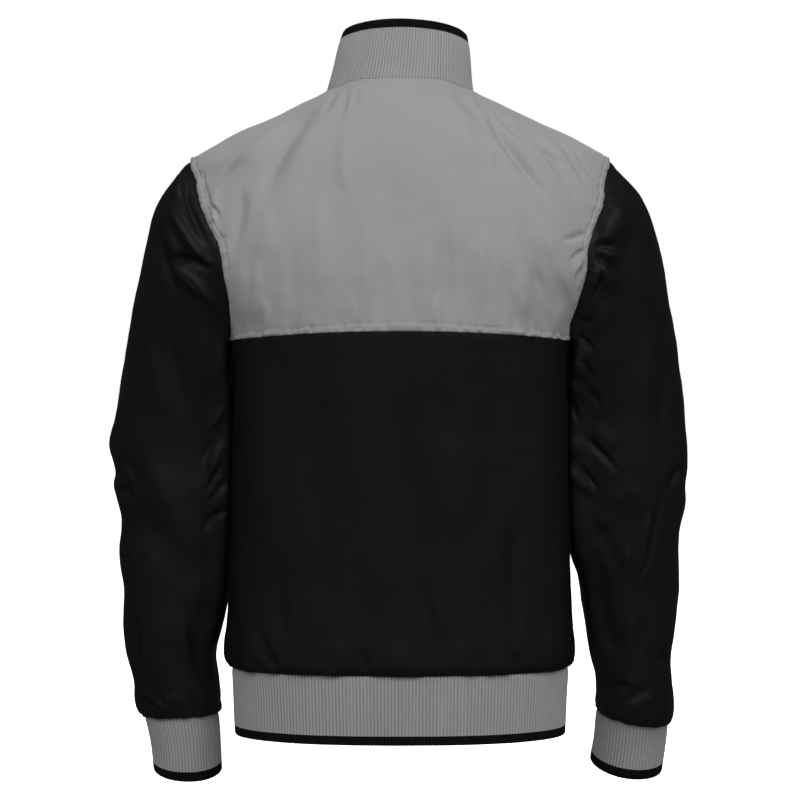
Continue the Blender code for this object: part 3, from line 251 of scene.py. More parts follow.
# Fineness of the grids
CURVE_STEPS = 10
YOKE_SHOULDER_COLUMNS = 74
YOKE_NECK_COLUMNS = 124
YOKE_ROWS = 150
BACK_UNDER_COLUMNS = 12
BACK_COLUMNS = 186
BACK_ROWS = 146
FRONT_NECK_COLUMNS = 34
FRONT_SIDE_COLUMNS = 46
FRONT_LOW_ROWS = 98
FRONT_HIGH_ROWS = 72
SLEEVE_BACK_COLUMNS = 106
SLEEVE_FRONT_COLUMNS = 66
SLEEVE_ROWS = 226
RIB_COLUMNS = 6
LIP_STEPS = 5
BAND_POINTS = 1201
TAPE_ROWS = 150
TAPE_COLUMNS = 10

# Shares of a panel's upper edge
YOKE_SHOULDER = 0.27      # the yoke's, on each side of the neck
BACK_UNDER = 0.06         # the lower back's, under each armhole
FRONT_NECK = 0.42         # a front's, along the neck

# Seams and stitching
YOKE_STRIP = 0.0100       # the yoke's lower edge is turned under and stitched this far up
ARMHOLE_STITCH = 0.0075
ZIP_STITCH = 0.0060
NECK_FREE = 3.0           # folds reach this much closer to the collar
FOLD_FREE = 0.006         # folds are held flat at a seam and free this far from it,
ZIP_FREE = 0.012
ZIP_GATHERS_FREE = 0.02
ARM_FREE = 0.014
CUFF_FREE = 0.010
BAND_WAVE = 0.0010        # slow unevenness of a knitted band,
WAVE_RIBS = 9.0           # over about this many ribs
BAND_SEWN = 0.05          # a band's sewn edge is pressed over this share of its height
BAND_STARTS = (0.0, 0.03, 0.08)       # its first rings
LIP_ROUND = 0.8           # its free edge is a little flatter than round
PANEL_WRINKLES = ((0.055, 0.0016, 0), (0.016, 0.00035, 3))      # size, height and seed added
SLEEVE_WRINKLES = ((0.045, 0.0018, 0), (0.014, 0.0004, 2))

# Little gathers along stitched edges: whole from low to high off the edge, fading within reach of
# these, and pressed flat at the edge itself
Pucker = namedtuple("Pucker", "pitch reach height low high pressed", defaults=(0.0, 0.0, 0.0))
YOKE_EDGE = Pucker(0.0042, 0.0042, 0.0022, 0.0060, 0.0060, 0.0030)
YOKE_ABOVE_EDGE = Pucker(0.012, 0.020, 0.0009, high=YOKE_STRIP)
YOKE_NECK = Pucker(0.0050, 0.0070, 0.0007, pressed=0.0015)
ARMHOLE_EDGE = Pucker(0.0058, 0.0050, 0.0020, 0.0050, 0.0050, 0.003)
ARMHOLE_BESIDE = Pucker(0.0085, 0.009, 0.0012, high=ARMHOLE_STITCH)
BACK_TOP = Pucker(0.012, 0.012, 0.0007)
HEM_WIDE = Pucker(0.014, 0.024, 0.0016, high=0.008)
HEM_FINE = Pucker(0.006, 0.010, 0.0007, high=0.004)
FRONT_ZIP = Pucker(0.016, 0.007, 0.0006, ZIP_STITCH, ZIP_STITCH)
FRONT_SIDE = Pucker(0.011, 0.009, 0.0008, 0.004, 0.004)
SLEEVE_CUFF = Pucker(0.010, 0.020, 0.0015, high=0.006, pressed=0.004)
SLEEVE_ARM = Pucker(0.012, 0.014, 0.0009, high=0.003, pressed=0.003)
HEM_PRESSED = 0.005
ARMHOLE_WEAK = 0.2        # below here the yoke's armhole edges show this share of their gathers,
ARMHOLE_WEAK_BELOW = -0.225
ARMHOLE_WEAK_FADE = 0.06  # and all of them this far above
ARMHOLE_DEEPEST = 0.0012  # no trough is deeper at those edges,
ARMHOLE_DEEPENS = 0.16    # or deepens faster away from them

# Zip, as in the solids
TAPE_HALF_WIDTH = 0.012
TAPE_DEPTH = 0.0042
TAPE_THICKNESS = 0.0008
TAPE_ABOVE_HEM = 0.002
TAPE_BELOW_TOP = 0.003
TAPE_INNER = 0.0004       # from the centre line to a tape's edge
CORD_PLACE = 0.0016       # the tapes have a cord under the teeth
CORD_RADIUS = 0.0009
TAPE_RAISED = 0.0010
CHAIN_PROUD = 0.0004
CHAIN_ENDS = 0.002        # from the box and the slider to the first and the last teeth
ZIP_SPACING = 0.030       # between points of the zip's line
ZIP_BELOW_NECK = 0.004    # the first part of it ends this far below the neckline
SLIDER_BELOW_TOP = 0.012
BOX_HEIGHT = 0.010
TOOTH_PITCH = 0.0025
TOOTH_WIDTH = 0.0034
TOOTH_DEPTH = 0.0024
TOOTH_HEIGHT = 0.0011
TOOTH_BEVEL = 0.00032
TOOTH_ASIDE = 0.28        # teeth stand this share of their width off the centre line
ACROSS = np.array((1.0, 0.0, 0.0))

# How far a sleeve fills out towards the body it hangs beside: height and swell
BESIDE_BODY = (
    (-0.285, 0.0020),
    (-0.310, 0.0045),
    (-0.340, 0.0042),
    (-0.370, 0.0024),
    (-0.450, 0.0014),
    (-0.560, 0.0000),
)
BACK_SWELL = 0.0045       # and towards the back beside the body,
CORNER_DRAWN = 0.0220     # where its corner is drawn square,
CORNER_SQUARED = 0.50     # nearer to the body by this share
CORNER_IN = 0.0025        # and this much.
ARM_TOP = -0.25           # None of this reaches up to here,
ARM_FADE = 0.06           # and all of it is whole this far below.
BESIDE_GAP = 0.0016       # The sleeve stays this clear of the body,
GAP_ROUNDED = 0.0010      # bent this softly onto the gap,
SEAM_ABOVE_ARMPIT = 0.02  # up to this far above the armpit.
BESIDE_FADE = 0.02        # The gap opens over this much cloth from the armhole,
SEAM_LET_IN = 0.004       # where the cloth may lie this far inside the body
SEAM_LET_FADE = 0.012     # and less over this much

# ---------------------------------------------------------------- creases

# Creases by piece and side (True is behind), in millimetres and in x and z as seen from behind or in
# front: start, the place it bends past, end, half its width, its rise (a trough is negative), its lean.
MILLIMETRE = 0.001
Crease = namedtuple("Crease", "from_x from_z mid_x mid_z to_x to_z half_width rise lean", defaults=(0.0,))
CREASE_TAPER = 0.4        # a crease swells over this share of its length and fades over the same,
CREASE_NARROW = 0.55      # from and to this share of its width
LEAN_BROAD = 1.25         # its lean reaches this much wider than its rise
LEAN_GAIN = 1.5
CREASE_WIDTHS = 3.0       # it is worked out this many half widths from its line,
CREASE_MARGIN = 0.004     # and this much more
CREASES = {}
CREASES["back_yoke", True] = (
    # yoke: the wearer's left shoulder, drawn from the neck to the armhole
    (112, -34, 156, -75, 194, -103, 2.8, 3.4),
    (116, -36, 152, -72, 186, -103, 9, 3),
    (141, -57, 173, -83, 203, -120, 2.4, -2.8, 0.3),
    (162, -59, 188, -72, 209, -86, 6, -2.4),
    (72, -19, 122, -69, 146, -145, 12, -7.6),
    (55, -12, 97, -60, 124, -138, 12, 3.2),
    (65, -6, 74, -25, 83, -46, 3, -3.4, 0.2),
    (59, -8, 66, -27, 75, -46, 2.4, 2),
    (54, -6, 58, -25, 65, -48, 3, -3, 0.2),
    (45, -6, 47, -21, 52, -38, 3, -2),
    # beside the left armhole
    (214, -91, 208, -121, 197, -142, 2.4, -3.2, 0.2),
    (205, -133, 195, -142, 193, -156, 2.8, -3.4, 0.3),
    (199, -112, 197, -141, 196, -173, 5, 3.4),
    (169, -110, 171, -150, 181, -194, 8, -4.6),
    (146, -135, 141, -171, 156, -209, 10, 2.2),
    # the wearer's right shoulder
    (-63, -8, -75, -25, -89, -51, 6, -4, 0.2),
    (-78, -10, -87, -22, -94, -38, 2.4, -2),
    (-57, -8, -65, -21, -74, -38, 2.6, -2),
    (-93, -25, -120, -78, -175, -150, 5.5, -6.4, 0.2),
    (-111, -32, -148, -82, -192, -160, 5, 3.2),
    (-95, -27, -135, -62, -179, -94, 3.4, -4.6, 0.4),
    (-146, -69, -162, -84, -181, -97, 5, -3),
    (-129, -46, -160, -67, -194, -101, 4.5, 2.6),
    (-169, -59, -188, -88, -205, -116, 3.4, -3.6, 0.3),
    (-186, -69, -198, -88, -210, -105, 2.4, -2.6),
    (-61, -29, -70, -69, -79, -122, 15, 4.4),
    (-104, -76, -104, -95, -111, -120, 4, -1.8),
    # beside the right armhole
    (-137, -133, -167, -198, -194, -253, 8, 4.6),
    (-122, -139, -141, -198, -169, -259, 7, -3.4),
    (-204, -162, -189, -170, -170, -175, 4, -3.4, 0.2),
    (-203, -180, -191, -188, -179, -198, 2.2, -3.4, 0.3),
    (-199, -189, -190, -200, -185, -213, 3.2, 2.6),
    (-198, -198, -192, -209, -187, -224, 2.6, -2.6, 0.3),
    # long soft bands down the back
    (57, -46, 59, -91, 52, -139, 9, 3),
    (15, -80, 8, -143, 12, -205, 10, -2.2),
    (38, -138, 35, -198, 42, -262, 11, 3),
    (15, -188, 19, -228, 15, -270, 9, -2.6),
    (106, -148, 115, -198, 108, -262, 10, -2),
    (87, -122, 82, -186, 89, -255, 12, 3.2),
    (129, -188, 135, -230, 140, -272, 8, -1.2),
    (169, -186, 168, -230, 164, -274, 8, 2.2),
    (154, -186, 152, -230, 158, -270, 7, 2.4),
    (-9, -181, -9, -228, -11, -270, 6, -2.2),
    (-27, -164, -28, -221, -25, -272, 7, 2.8),
    (-49, -148, -50, -209, -49, -270, 8, -3.4, 0.2),
    (-87, -152, -85, -202, -82, -266, 8, 3),
    (-69, -162, -65, -207, -68, -268, 7, -1.8),
    (-141, -192, -149, -232, -157, -272, 6, -3.4, 0.2),
    (-127, -198, -131, -232, -129, -268, 7, 2.6),
    (-108, -192, -111, -232, -106, -270, 7, -1.8),
    # a few tucks above the seam to the lower back
    (146, -276, 142, -253, 150, -228, 5, 1.8, 0.2),
    (98, -274, 99, -251, 93, -226, 6, 1.4),
    (51, -274, 49, -251, 55, -228, 5, 1.6, 0.2),
    (-39, -274, -38, -251, -42, -228, 5, 1.8, 0.2),
    (-119, -276, -120, -251, -116, -228, 5, -1.8, 0.2),
    (-169, -278, -168, -259, -173, -238, 5, 2, 0.2),
)
CREASES["back_body", True] = (
    # lower back: long soft bands
    (54, -290, 38, -430, 12, -600, 22, 5.4),
    (-4, -334, -16, -470, -22, -606, 15, -4.8),
    (-44, -350, -56, -430, -62, -500, 26, 4.4),
    (104, -300, 92, -400, 76, -560, 20, -3.8),
    (146, -310, 150, -420, 128, -540, 18, 2.8),
    (-104, -300, -98, -400, -104, -500, 17, -2.6),
    (-128, -446, -122, -530, -131, -610, 8, -3.6, 0.5),
    (-146, -320, -152, -420, -146, -520, 16, 2.6),
    (120, -500, 126, -556, 116, -610, 9, -2.8, 0.4),
    # and the cloth that gathers on the hem band
    (146, -588, 140, -612, 128, -633, 6, -3.2, 0.5),
    (158, -580, 158, -605, 150, -628, 7, 2.2),
    (104, -620, 82, -628, 58, -626, 4, 1.8, 0.3),
    (43, -600, 36, -618, 32, -636, 5.5, -2.8, 0.4),
    (70, -590, 66, -612, 72, -634, 7, 1.8),
    (-20, -526, -32, -575, -38, -620, 7, -2.8, 0.4),
    (8, -596, 2, -616, 6, -636, 6, 1.8),
    (-60, -590, -66, -614, -60, -636, 7, 2),
    (-92, -604, -88, -620, -96, -636, 5, -2.2, 0.3),
    (-132, -606, -128, -622, -134, -636, 5, -3, 0.4),
    (-156, -580, -160, -604, -154, -628, 7, 2),
)
CREASES["front_left", False] = (
    # fronts: quieter, hung from the shoulders and gathered on the hem band
    (96, -60, 78, -160, 92, -290, 18, 2.8),
    (150, -110, 128, -190, 110, -260, 12, -2.6, 0.3),
    (190, -190, 170, -235, 128, -280, 8, -2.4, 0.4),
    (60, -300, 66, -430, 48, -560, 18, -2.8),
    (116, -330, 108, -450, 120, -570, 20, 3),
    (152, -400, 146, -500, 152, -600, 12, -2.6, 0.3),
    (40, -580, 44, -608, 36, -634, 6, -2.6, 0.4),
    (88, -586, 82, -612, 88, -634, 7, 2.2),
    (122, -596, 128, -616, 122, -634, 6, -2.6, 0.4),
)
CREASES["front_right", False] = (
    (-88, -54, -84, -170, -70, -300, 18, 2.6),
    (-158, -100, -126, -176, -118, -250, 11, -2.6, 0.3),
    (-188, -200, -164, -240, -134, -292, 8, -2.4, 0.4),
    (-52, -320, -70, -430, -56, -550, 18, -2.6),
    (-122, -320, -112, -440, -104, -560, 20, 3),
    (-156, -420, -148, -510, -156, -600, 12, -2.6, 0.3),
    (-48, -590, -40, -612, -46, -634, 6, -2.6, 0.4),
    (-80, -580, -88, -610, -78, -634, 7, 2.2),
    (-130, -592, -124, -614, -132, -634, 6, -2.6, 0.4),
)
CREASES["sleeve_left", True] = (
    # left sleeve, behind: glossy folds that hang from the armhole
    (256, -111, 230, -163, 192, -214, 7, 6.6),
    (250, -122, 227, -163, 202, -200, 2.4, -2.8),
    (233, -98, 224, -139, 200, -185, 5, -5.4, 0.2),
    (263, -124, 258, -182, 228, -240, 6.5, -6.4, 0.1),
    (256, -146, 248, -172, 232, -192, 8, 5),
    (252, -194, 224, -193, 190, -212, 3.6, -6.4, 0.2),
    (254, -196, 226, -214, 192, -252, 6.5, 6.2),
    (240, -205, 222, -217, 208, -234, 2.2, -2),
    (237, -84, 239, -108, 248, -132, 7, 5.4),
    # long soft streaks down the upper arm
    (276, -262, 266, -322, 246, -380, 11, 2.4),
    (250, -268, 239, -322, 232, -376, 7, -2.3),
    (222, -250, 216, -300, 220, -350, 11, 2.9),
    (290, -290, 288, -350, 292, -400, 12, 1.8),
    # the fan of folds inside the elbow
    (193, -346, 200, -365, 217, -378, 5, 3.6),
    (192, -376, 208, -396, 219, -415, 3, -2.4, 0.1),
    (191, -385, 202, -410, 222, -444, 7, 2.8),
    (192, -408, 203, -428, 218, -448, 3, -2.3, 0.1),
    (190, -415, 200, -436, 216, -458, 5, 1.6),
    (190, -426, 200, -444, 218, -462, 2.6, -1.7, 0.1),
    (188, -430, 195, -452, 216, -472, 6, 2.6),
    (196, -380, 207, -425, 214, -474, 12, 4.2),
    (184, -466, 202, -470, 220, -492, 4, -3, 0.1),
    # the elbow's long slope and the dents on its outer side
    (288, -392, 255, -452, 222, -522, 16, 3, 0.1),
    (299, -441, 266, -485, 233, -545, 16, -2.8),
    (305, -409, 296, -424, 287, -439, 3, 3.4),
    (309, -435, 300, -443, 286, -451, 5, -5.5, 0.3),
    (306, -513, 301, -517, 294, -524, 3.5, -3.6, 0.3),
    (222, -528, 218, -550, 220, -572, 9, 1.5),
    (289, -561, 290, -615, 285, -669, 5, -3.6),
    (230, -572, 222, -626, 210, -672, 6, -3.4),
    (241, -561, 235, -615, 228, -659, 7, 2.6),
    # and the cloth that drops over the cuff
    (281, -661, 276, -669, 267, -676, 3, 2, 0.1),
    (284, -668, 272, -680, 262, -682, 3, -1.9, 0.1),
    (265, -656, 263, -669, 258, -682, 3, -2, 0.1),
    (250, -662, 246, -672, 240, -682, 4, 1.6),
    (232, -663, 228, -672, 225, -682, 3, -1.9, 0.1),
    (214, -665, 211, -674, 209, -682, 3.5, 1.6),
)
CREASES["sleeve_left", False] = (
    # left sleeve, in front
    (250, -140, 222, -180, 202, -240, 8, 3.9, 0.2),
    (262, -180, 244, -240, 236, -300, 9, -3.1),
    (190, -350, 222, -372, 250, -420, 7, -3.9, 0.4),
    (188, -390, 216, -414, 240, -456, 6, 3.4),
    (186, -424, 214, -446, 250, -470, 7, -4.4, 0.5),
    (296, -420, 260, -480, 206, -496, 8, -3.9, 0.3),
    (280, -520, 268, -580, 276, -640, 10, 3.1),
    (214, -560, 230, -600, 222, -645, 8, -2.9),
    (284, -648, 254, -672, 210, -664, 5, -3.9, 0.5),
    (270, -630, 240, -644, 212, -636, 6, 3.1),
)
CREASES["sleeve_right", True] = (
    # right sleeve, behind: the cloth stands out under the shoulder and folds into the armhole
    (-231, -81, -232, -100, -227, -124, 3.2, -2.8, 0.2),
    (-243, -96, -236, -113, -230, -133, 3, -2.4),
    (-236, -96, -230, -116, -228, -135, 3, 1.8),
    (-252, -116, -233, -153, -204, -174, 18, 5.6),
    (-262, -120, -244, -190, -247, -300, 12, -3),
    (-202, -177, -218, -177, -238, -180, 4, -5.6, 0.2),
    (-205, -181, -222, -196, -243, -212, 4.2, -5.6, 0.2),
    (-209, -186, -224, -188, -237, -194, 4, 3),
    (-209, -194, -222, -210, -230, -234, 8, 5),
    (-198, -198, -205, -202, -213, -201, 1.8, -2.4),
    (-203, -194, -209, -214, -198, -235, 5, 4.4),
    (-213, -196, -215, -217, -202, -238, 1.9, -3, 0.2),
    (-224, -231, -219, -257, -211, -281, 8, 2.6),
    (-191, -255, -200, -259, -211, -255, 2.6, -2.4, 0.2),
    (-280, -250, -268, -318, -269, -396, 11, 2.6),
    (-293, -263, -288, -331, -285, -400, 8, -2.2),
    (-254, -268, -252, -311, -256, -354, 9, -1.8),
    # short creases that run down and out from its inner edge
    (-192, -272, -202, -280, -214, -296, 2.4, -2.9, 0.3),
    (-195, -296, -204, -307, -215, -322, 2.4, -3.4, 0.3),
    (-186, -298, -196, -312, -210, -330, 5, 2.4),
    (-186, -322, -195, -335, -205, -348, 5.5, 2),
    (-187, -339, -191, -354, -198, -374, 3, -3.1, 0.3),
    (-206, -328, -214, -340, -220, -356, 3, -2.3, 0.2),
    # elbow
    (-191, -374, -217, -396, -245, -430, 3, -3.9, 0.3),
    (-210, -370, -222, -383, -240, -402, 8, 1.9),
    (-186, -380, -190, -394, -198, -408, 7, 2.2),
    (-191, -407, -206, -426, -222, -443, 2.4, -3.4, 0.2),
    (-184, -408, -195, -432, -221, -450, 5, 3.4, 0.1),
    (-312, -413, -304, -428, -293, -443, 5, -5.5, 0.3),
    (-217, -452, -250, -449, -272, -437, 14, 2.2),
    (-291, -437, -278, -485, -263, -554, 5, -2.9),
    (-278, -452, -267, -501, -258, -550, 5, 3.1),
    (-271, -524, -266, -539, -261, -556, 2, 2.3),
    (-250, -501, -248, -517, -241, -534, 4, 2.6),
    (-204, -470, -226, -500, -240, -540, 9, -2.9),
    (-230, -572, -232, -604, -239, -626, 8, -2.9),
    (-269, -561, -265, -604, -269, -631, 5, -2.6),
    (-252, -560, -250, -600, -254, -628, 6, 2.3),
    (-287, -615, -291, -628, -293, -643, 4, -3.6, 0.3),
    # above the cuff
    (-209, -604, -213, -617, -218, -630, 2.2, 3.1),
    (-215, -643, -224, -650, -235, -652, 5, -2.6, 0.1),
    (-219, -661, -241, -659, -262, -659, 4.5, -2.8, 0.1),
    (-241, -643, -252, -652, -262, -661, 6, 1.4),
    (-243, -676, -261, -667, -274, -659, 5, -1.7),
    (-243, -687, -265, -676, -285, -663, 6, 1.6),
)
CREASES["sleeve_right", False] = (
    # right sleeve, in front
    (-244, -140, -226, -190, -206, -246, 8, 3.9, 0.2),
    (-266, -190, -246, -250, -242, -310, 9, -3.1),
    (-188, -336, -218, -360, -244, -404, 7, -3.9, 0.4),
    (-188, -374, -220, -400, -246, -444, 6, 3.4),
    (-188, -410, -218, -436, -256, -462, 7, -4.4, 0.5),
    (-300, -410, -264, -470, -212, -490, 8, -3.9, 0.3),
    (-286, -510, -274, -570, -282, -634, 10, 3.1),
    (-218, -550, -234, -596, -226, -640, 8, -2.9),
    (-218, -636, -256, -664, -292, -660, 5, -3.9, 0.5),
    (-216, -620, -250, -640, -284, -640, 6, 3.1),
)


# ---------------------------------------------------------------- the garment's form

def smooth_step(value):
    value = np.clip(value, 0.0, 1.0)
    return value * value * (3.0 - 2.0 * value)


def signed_power(value, power):
    return np.sign(value) * np.abs(value) ** power


def unit(vectors):
    return vectors / (np.linalg.norm(vectors, axis=-1, keepdims=True) + 1e-12)


def even(low, high, steps):
    return np.linspace(low, high, steps, endpoint=False)


def smooth_between(share, span, start, end, start_slope, end_slope):
    square, cube = share ** 2, share ** 3
    return ((2 * cube - 3 * square + 1) * start + (cube - 2 * square + share) * span * start_slope
            + (3 * square - 2 * cube) * end + (cube - square) * span * end_slope)


def read_table(places, values, at):
    """Smooth values at places, from rows whose places rise; a row's value may be an array."""
    places, values, at = (np.asarray(item, float) for item in (places, values, at))
    extra = (1,) * (values.ndim - 1)
    slopes = np.empty_like(values)
    slopes[1:-1] = (values[2:] - values[:-2]) / (places[2:] - places[:-2]).reshape((-1,) + extra)
    slopes[0] = (values[1] - values[0]) / (places[1] - places[0])
    slopes[-1] = (values[-1] - values[-2]) / (places[-1] - places[-2])
    inside = np.clip(at, places[0], places[-1])
    low = np.clip(np.searchsorted(places, inside, side="right") - 1, 0, len(places) - 2)
    span = (places[low + 1] - places[low]).reshape(at.shape + extra)
    share = (inside - places[low]).reshape(at.shape + extra) / span
    return smooth_between(share, span, values[low], values[low + 1], slopes[low], slopes[low + 1])


def table_columns(rows, at):
    """The columns of a table at places in its first column."""
    columns = np.array(sorted(rows)).T
    return [read_table(columns[0], column, at) for column in columns[1:]]


def torso(angle, height):
    """Points of the torso: angle 0 is the wearer's left side, a quarter turn is the back."""
    half_width, back, front, square_middle, square_side = table_columns(TORSO, height)
    depth = np.where(np.sin(angle) >= 0.0, back, front)
    x = half_width * signed_power(np.cos(angle), 2.0 / square_middle)
    y = depth * signed_power(np.sin(angle), 2.0 / square_side)
    hold = np.where(y < 0.0, smooth_step(np.abs(x) / BLOUSE_START - 0.4), 1.0)
    reach = np.hypot(x, y * 1.5) + 1e-9
    out = np.maximum(0.0, table_columns(BLOUSE, height)[0]) * hold
    return np.stack((x + x / reach * out, y + y * 1.5 / reach * out, height + 0.0 * x), axis=-1)


def angle_toward(point):
    half_width, back, front, square_middle, square_side = table_columns(TORSO, point[..., 2])
    reach = np.where(point[..., 1] >= 0.0, back, front)
    angle = np.arctan2(signed_power(point[..., 1] / reach, square_side / 2.0),
                       signed_power(point[..., 0] / half_width, square_middle / 2.0))
    return np.where(angle < -math.pi / 2.0, angle + math.tau, angle)


def angle_at_depth(side, depth, height):
    _, back, front, _, square_side = table_columns(TORSO, height)
    share = np.minimum(1.0, np.abs(depth) / np.where(depth >= 0.0, back, front)) ** (square_side / 2.0)
    angle = np.copysign(np.arcsin(share), depth)
    return angle if side > 0 else math.pi - angle


def front_angle(x, height):
    """The angle of the torso's point in front at x."""
    half_width, _, _, square_middle, _ = table_columns(TORSO, height)
    share = np.minimum(1.0, np.abs(x) / half_width) ** (square_middle / 2.0)
    return -np.arccos(np.copysign(share, x))


def armhole_side_view(side, turn):
    """Depth and height on the armhole: a smooth closed curve through its evenly spaced rows."""
    count = len(ARMHOLE)
    place = np.mod(turn, 1.0) * count
    low = np.floor(place).astype(int) % count
    found = []
    for column in ("left_depth" if side > 0 else "right_depth", "height"):
        values = np.array([getattr(row, column) for row in ARMHOLE])
        before, start, end, after = (values[(low + step) % count] for step in (-1, 0, 1, 2))
        found.append(smooth_between(place - np.floor(place), 1.0, start, end, (end - before) / 2,
                                    (after - start) / 2))
    return found


def armhole(side, turn):
    depth, height = armhole_side_view(side, np.asarray(turn, float))
    return torso(angle_at_depth(side, depth, height), height)


def armhole_turn(side, wanted, low, high, column):
    rising = armhole_side_view(side, high)[column] > armhole_side_view(side, low)[column]
    for _ in range(40):
        middle = (low + high) / 2.0
        if (armhole_side_view(side, middle)[column] < wanted) == rising:
            low = middle
        else:
            high = middle
    return (low + high) / 2.0


def yoke_height(x):
    return YOKE_CENTRE - YOKE_DROP * (x / YOKE_SIDE) ** 2


CORNER = {side: armhole_turn(side, yoke_height(YOKE_SIDE), 0.02, 0.12, 1) for side in (1, -1)}
SHOULDER = armhole_turn(1, -SEAM_FORWARD_ARM, 0.5, 0.6, 0)
NECK_SEAM_TURN = math.asin(SEAM_FORWARD_NECK / NECK_FRONT) / math.tau


def neck_point(turn):
    angle = np.asarray(turn, float) * math.tau
    rise = np.sin(angle)
    depth = np.where(rise >= 0.0, NECK_BACK, NECK_FRONT)
    height = np.where(rise >= 0.0, NECK_RISE * rise, -NECK_FALL * np.abs(rise) ** 1.5)
    height = height - NECK_DIP * smooth_step((0.88 - rise) / 0.35) * smooth_step((rise + 0.7) / 0.7)
    return np.stack((NECK_HALF_WIDTH * np.cos(angle), depth * rise, height), axis=-1)


def on_torso(point):
    """The torso's own point in the direction of a point."""
    return torso(angle_toward(point), point[..., 2])


def yoke_seam(share):
    """Along the yoke's lower edge, from the wearer's left armhole to the right."""
    ends = []
    for side in (1, -1):
        depth, height = armhole_side_view(side, CORNER[side])
        ends.append((angle_at_depth(side, depth, height), height))
    (angle_a, height_a), (angle_b, height_b) = ends
    angle = angle_a + (angle_b - angle_a) * share
    height = height_a + (height_b - height_a) * share
    straight = yoke_height(torso(angle, np.full_like(angle, YOKE_CENTRE))[..., 0])
    return torso(angle, straight + (height - yoke_height(YOKE_SIDE)) * np.abs(2.0 * share - 1.0) ** 4)


def place_blend(start, end, share):
    """Points on the torso between two of its points, even in angle and height."""
    angle = angle_toward(start) + (angle_toward(end) - angle_toward(start)) * share
    return torso(angle, start[2] + (end[2] - start[2]) * share)


def patch(low, high, first, last, across, upward):
    """A torso panel's points from its four edges, as rows going up."""
    u, v = across[None, :, None], upward[:, None, None]
    (low_start, low_end), (high_start, high_end) = (edge(np.array([0.0, 1.0])) for edge in (low, high))
    start = low_start + (high_start - low_start) * v
    end = low_end + (high_end - low_end) * v
    fade = np.array([1.0, 1.0, HEIGHT_FADE])
    return on_torso(low(across)[None] * (1.0 - v) + high(across)[None] * v
                    + (1.0 - u) ** fade * (first(upward)[:, None] - start)
                    + u ** fade * (last(upward)[:, None] - end))


def lifted_to_neck(points, neck, near, upward):
    """A panel's points, with its upper edge lifted to the neckline where near is 1."""
    lift = (neck - on_torso(neck)) * smooth_step(near)[:, None]
    share = smooth_step((upward - NECK_LIFT_FROM) / (1.0 - NECK_LIFT_FROM))
    return points + lift[None] * share[:, None, None]


def three_parts(u, share, left, middle, right):
    """A line from three, each end one over a share of it."""
    line = np.where((u < share)[:, None], left, middle)
    return np.where((u > 1.0 - share)[:, None], right, line)


def three_runs(share, columns, middle_columns):
    return np.concatenate((even(0.0, share, columns), even(share, 1.0 - share, middle_columns),
                           np.linspace(1.0 - share, 1.0, columns + 1)))


def grid_normals(points, closed=False):
    """Outward directions of a grid of points whose rows run to the right as they go up."""
    if closed:
        along = np.roll(points, -1, axis=1) - np.roll(points, 1, axis=1)
    else:
        along = np.gradient(points, axis=1)
    return unit(np.cross(along, np.gradient(points, axis=0)))


def distance_along(points, axis):
    """How far each grid point is from the grid's two ends along an axis."""
    steps = np.linalg.norm(np.diff(points, axis=axis), axis=-1)
    shape = list(steps.shape)
    shape[axis] = 1
    run = np.concatenate((np.zeros(shape), np.cumsum(steps, axis=axis)), axis=axis)
    return run, np.take(run, [-1], axis=axis) - run


def run_along(line):
    return np.concatenate(([0.0], np.cumsum(np.linalg.norm(np.diff(line, axis=0), axis=-1))))


def points_at(places, lengths, line):
    return np.stack([np.interp(places, lengths, line[:, axis]) for axis in range(3)], axis=-1)


# ---------------------------------------------------------------- folds and wrinkles

def crease_rise(creases, points):
    """How far creases push a piece's points out. A crease bends from start to end past its middle,
    swells from and fades to nothing, and its far side may stand over its near side (lean)."""
    x, z = points[..., 0], points[..., 2]
    rise = np.zeros_like(x)
    steps = np.linspace(0.0, 1.0, CURVE_STEPS + 1)[:, None]
    for crease in (Crease(*row) for row in creases):
        start, middle, end = np.array(crease[:6]).reshape(3, 2) * MILLIMETRE
        half_width = crease.half_width * MILLIMETRE
        reach = CREASE_WIDTHS * half_width + CREASE_MARGIN
        low = np.min((start, middle, end), axis=0) - reach
        high = np.max((start, middle, end), axis=0) + reach
        near = (x > low[0]) & (x < high[0]) & (z > low[1]) & (z < high[1])
        if not near.any():
            continue
        spots = np.stack((x[near], z[near]), axis=-1)
        best = np.full(len(spots), 1e9)
        share, lean = np.zeros(len(spots)), np.zeros(len(spots))
        bend = 2.0 * middle - (start + end) / 2.0
        line = (1 - steps) ** 2 * start + 2 * (1 - steps) * steps * bend + steps ** 2 * end
        for index in range(CURVE_STEPS):
            here, run = line[index], line[index + 1] - line[index]
            part = np.clip((spots - here) @ run / max(run @ run, 1e-12), 0.0, 1.0)
            offset = spots - here - part[:, None] * run
            distance = np.hypot(offset[:, 0], offset[:, 1])
            closer = distance < best
            best[closer] = distance[closer]
            share[closer] = ((index + part) / CURVE_STEPS)[closer]
            lean[closer] = (np.sign(run[0] * offset[:, 1] - run[1] * offset[:, 0]) * distance)[closer]
        taper = smooth_step(np.minimum(share, 1.0 - share) / CREASE_TAPER)
        width = half_width * (CREASE_NARROW + (1.0 - CREASE_NARROW) * taper)
        profile = np.exp(-(best / width) ** 2)
        shape = profile + crease.lean * (lean / width) * np.exp(-(best / width / LEAN_BROAD) ** 2) * LEAN_GAIN
        rise[near] += crease.rise * MILLIMETRE * taper * shape
    return rise


def wrinkle_rise(points, scale, height, seed):
    """Slow unevenness of the cloth, the same each run."""
    flat = points.reshape(-1, 3)
    offset = Vector((seed * 7.31, seed * 3.17, seed * 1.93))
    rise = np.fromiter((noise.noise(Vector(point) / scale + offset) for point in flat), float, len(flat))
    return (rise * height).reshape(points.shape[:-1])


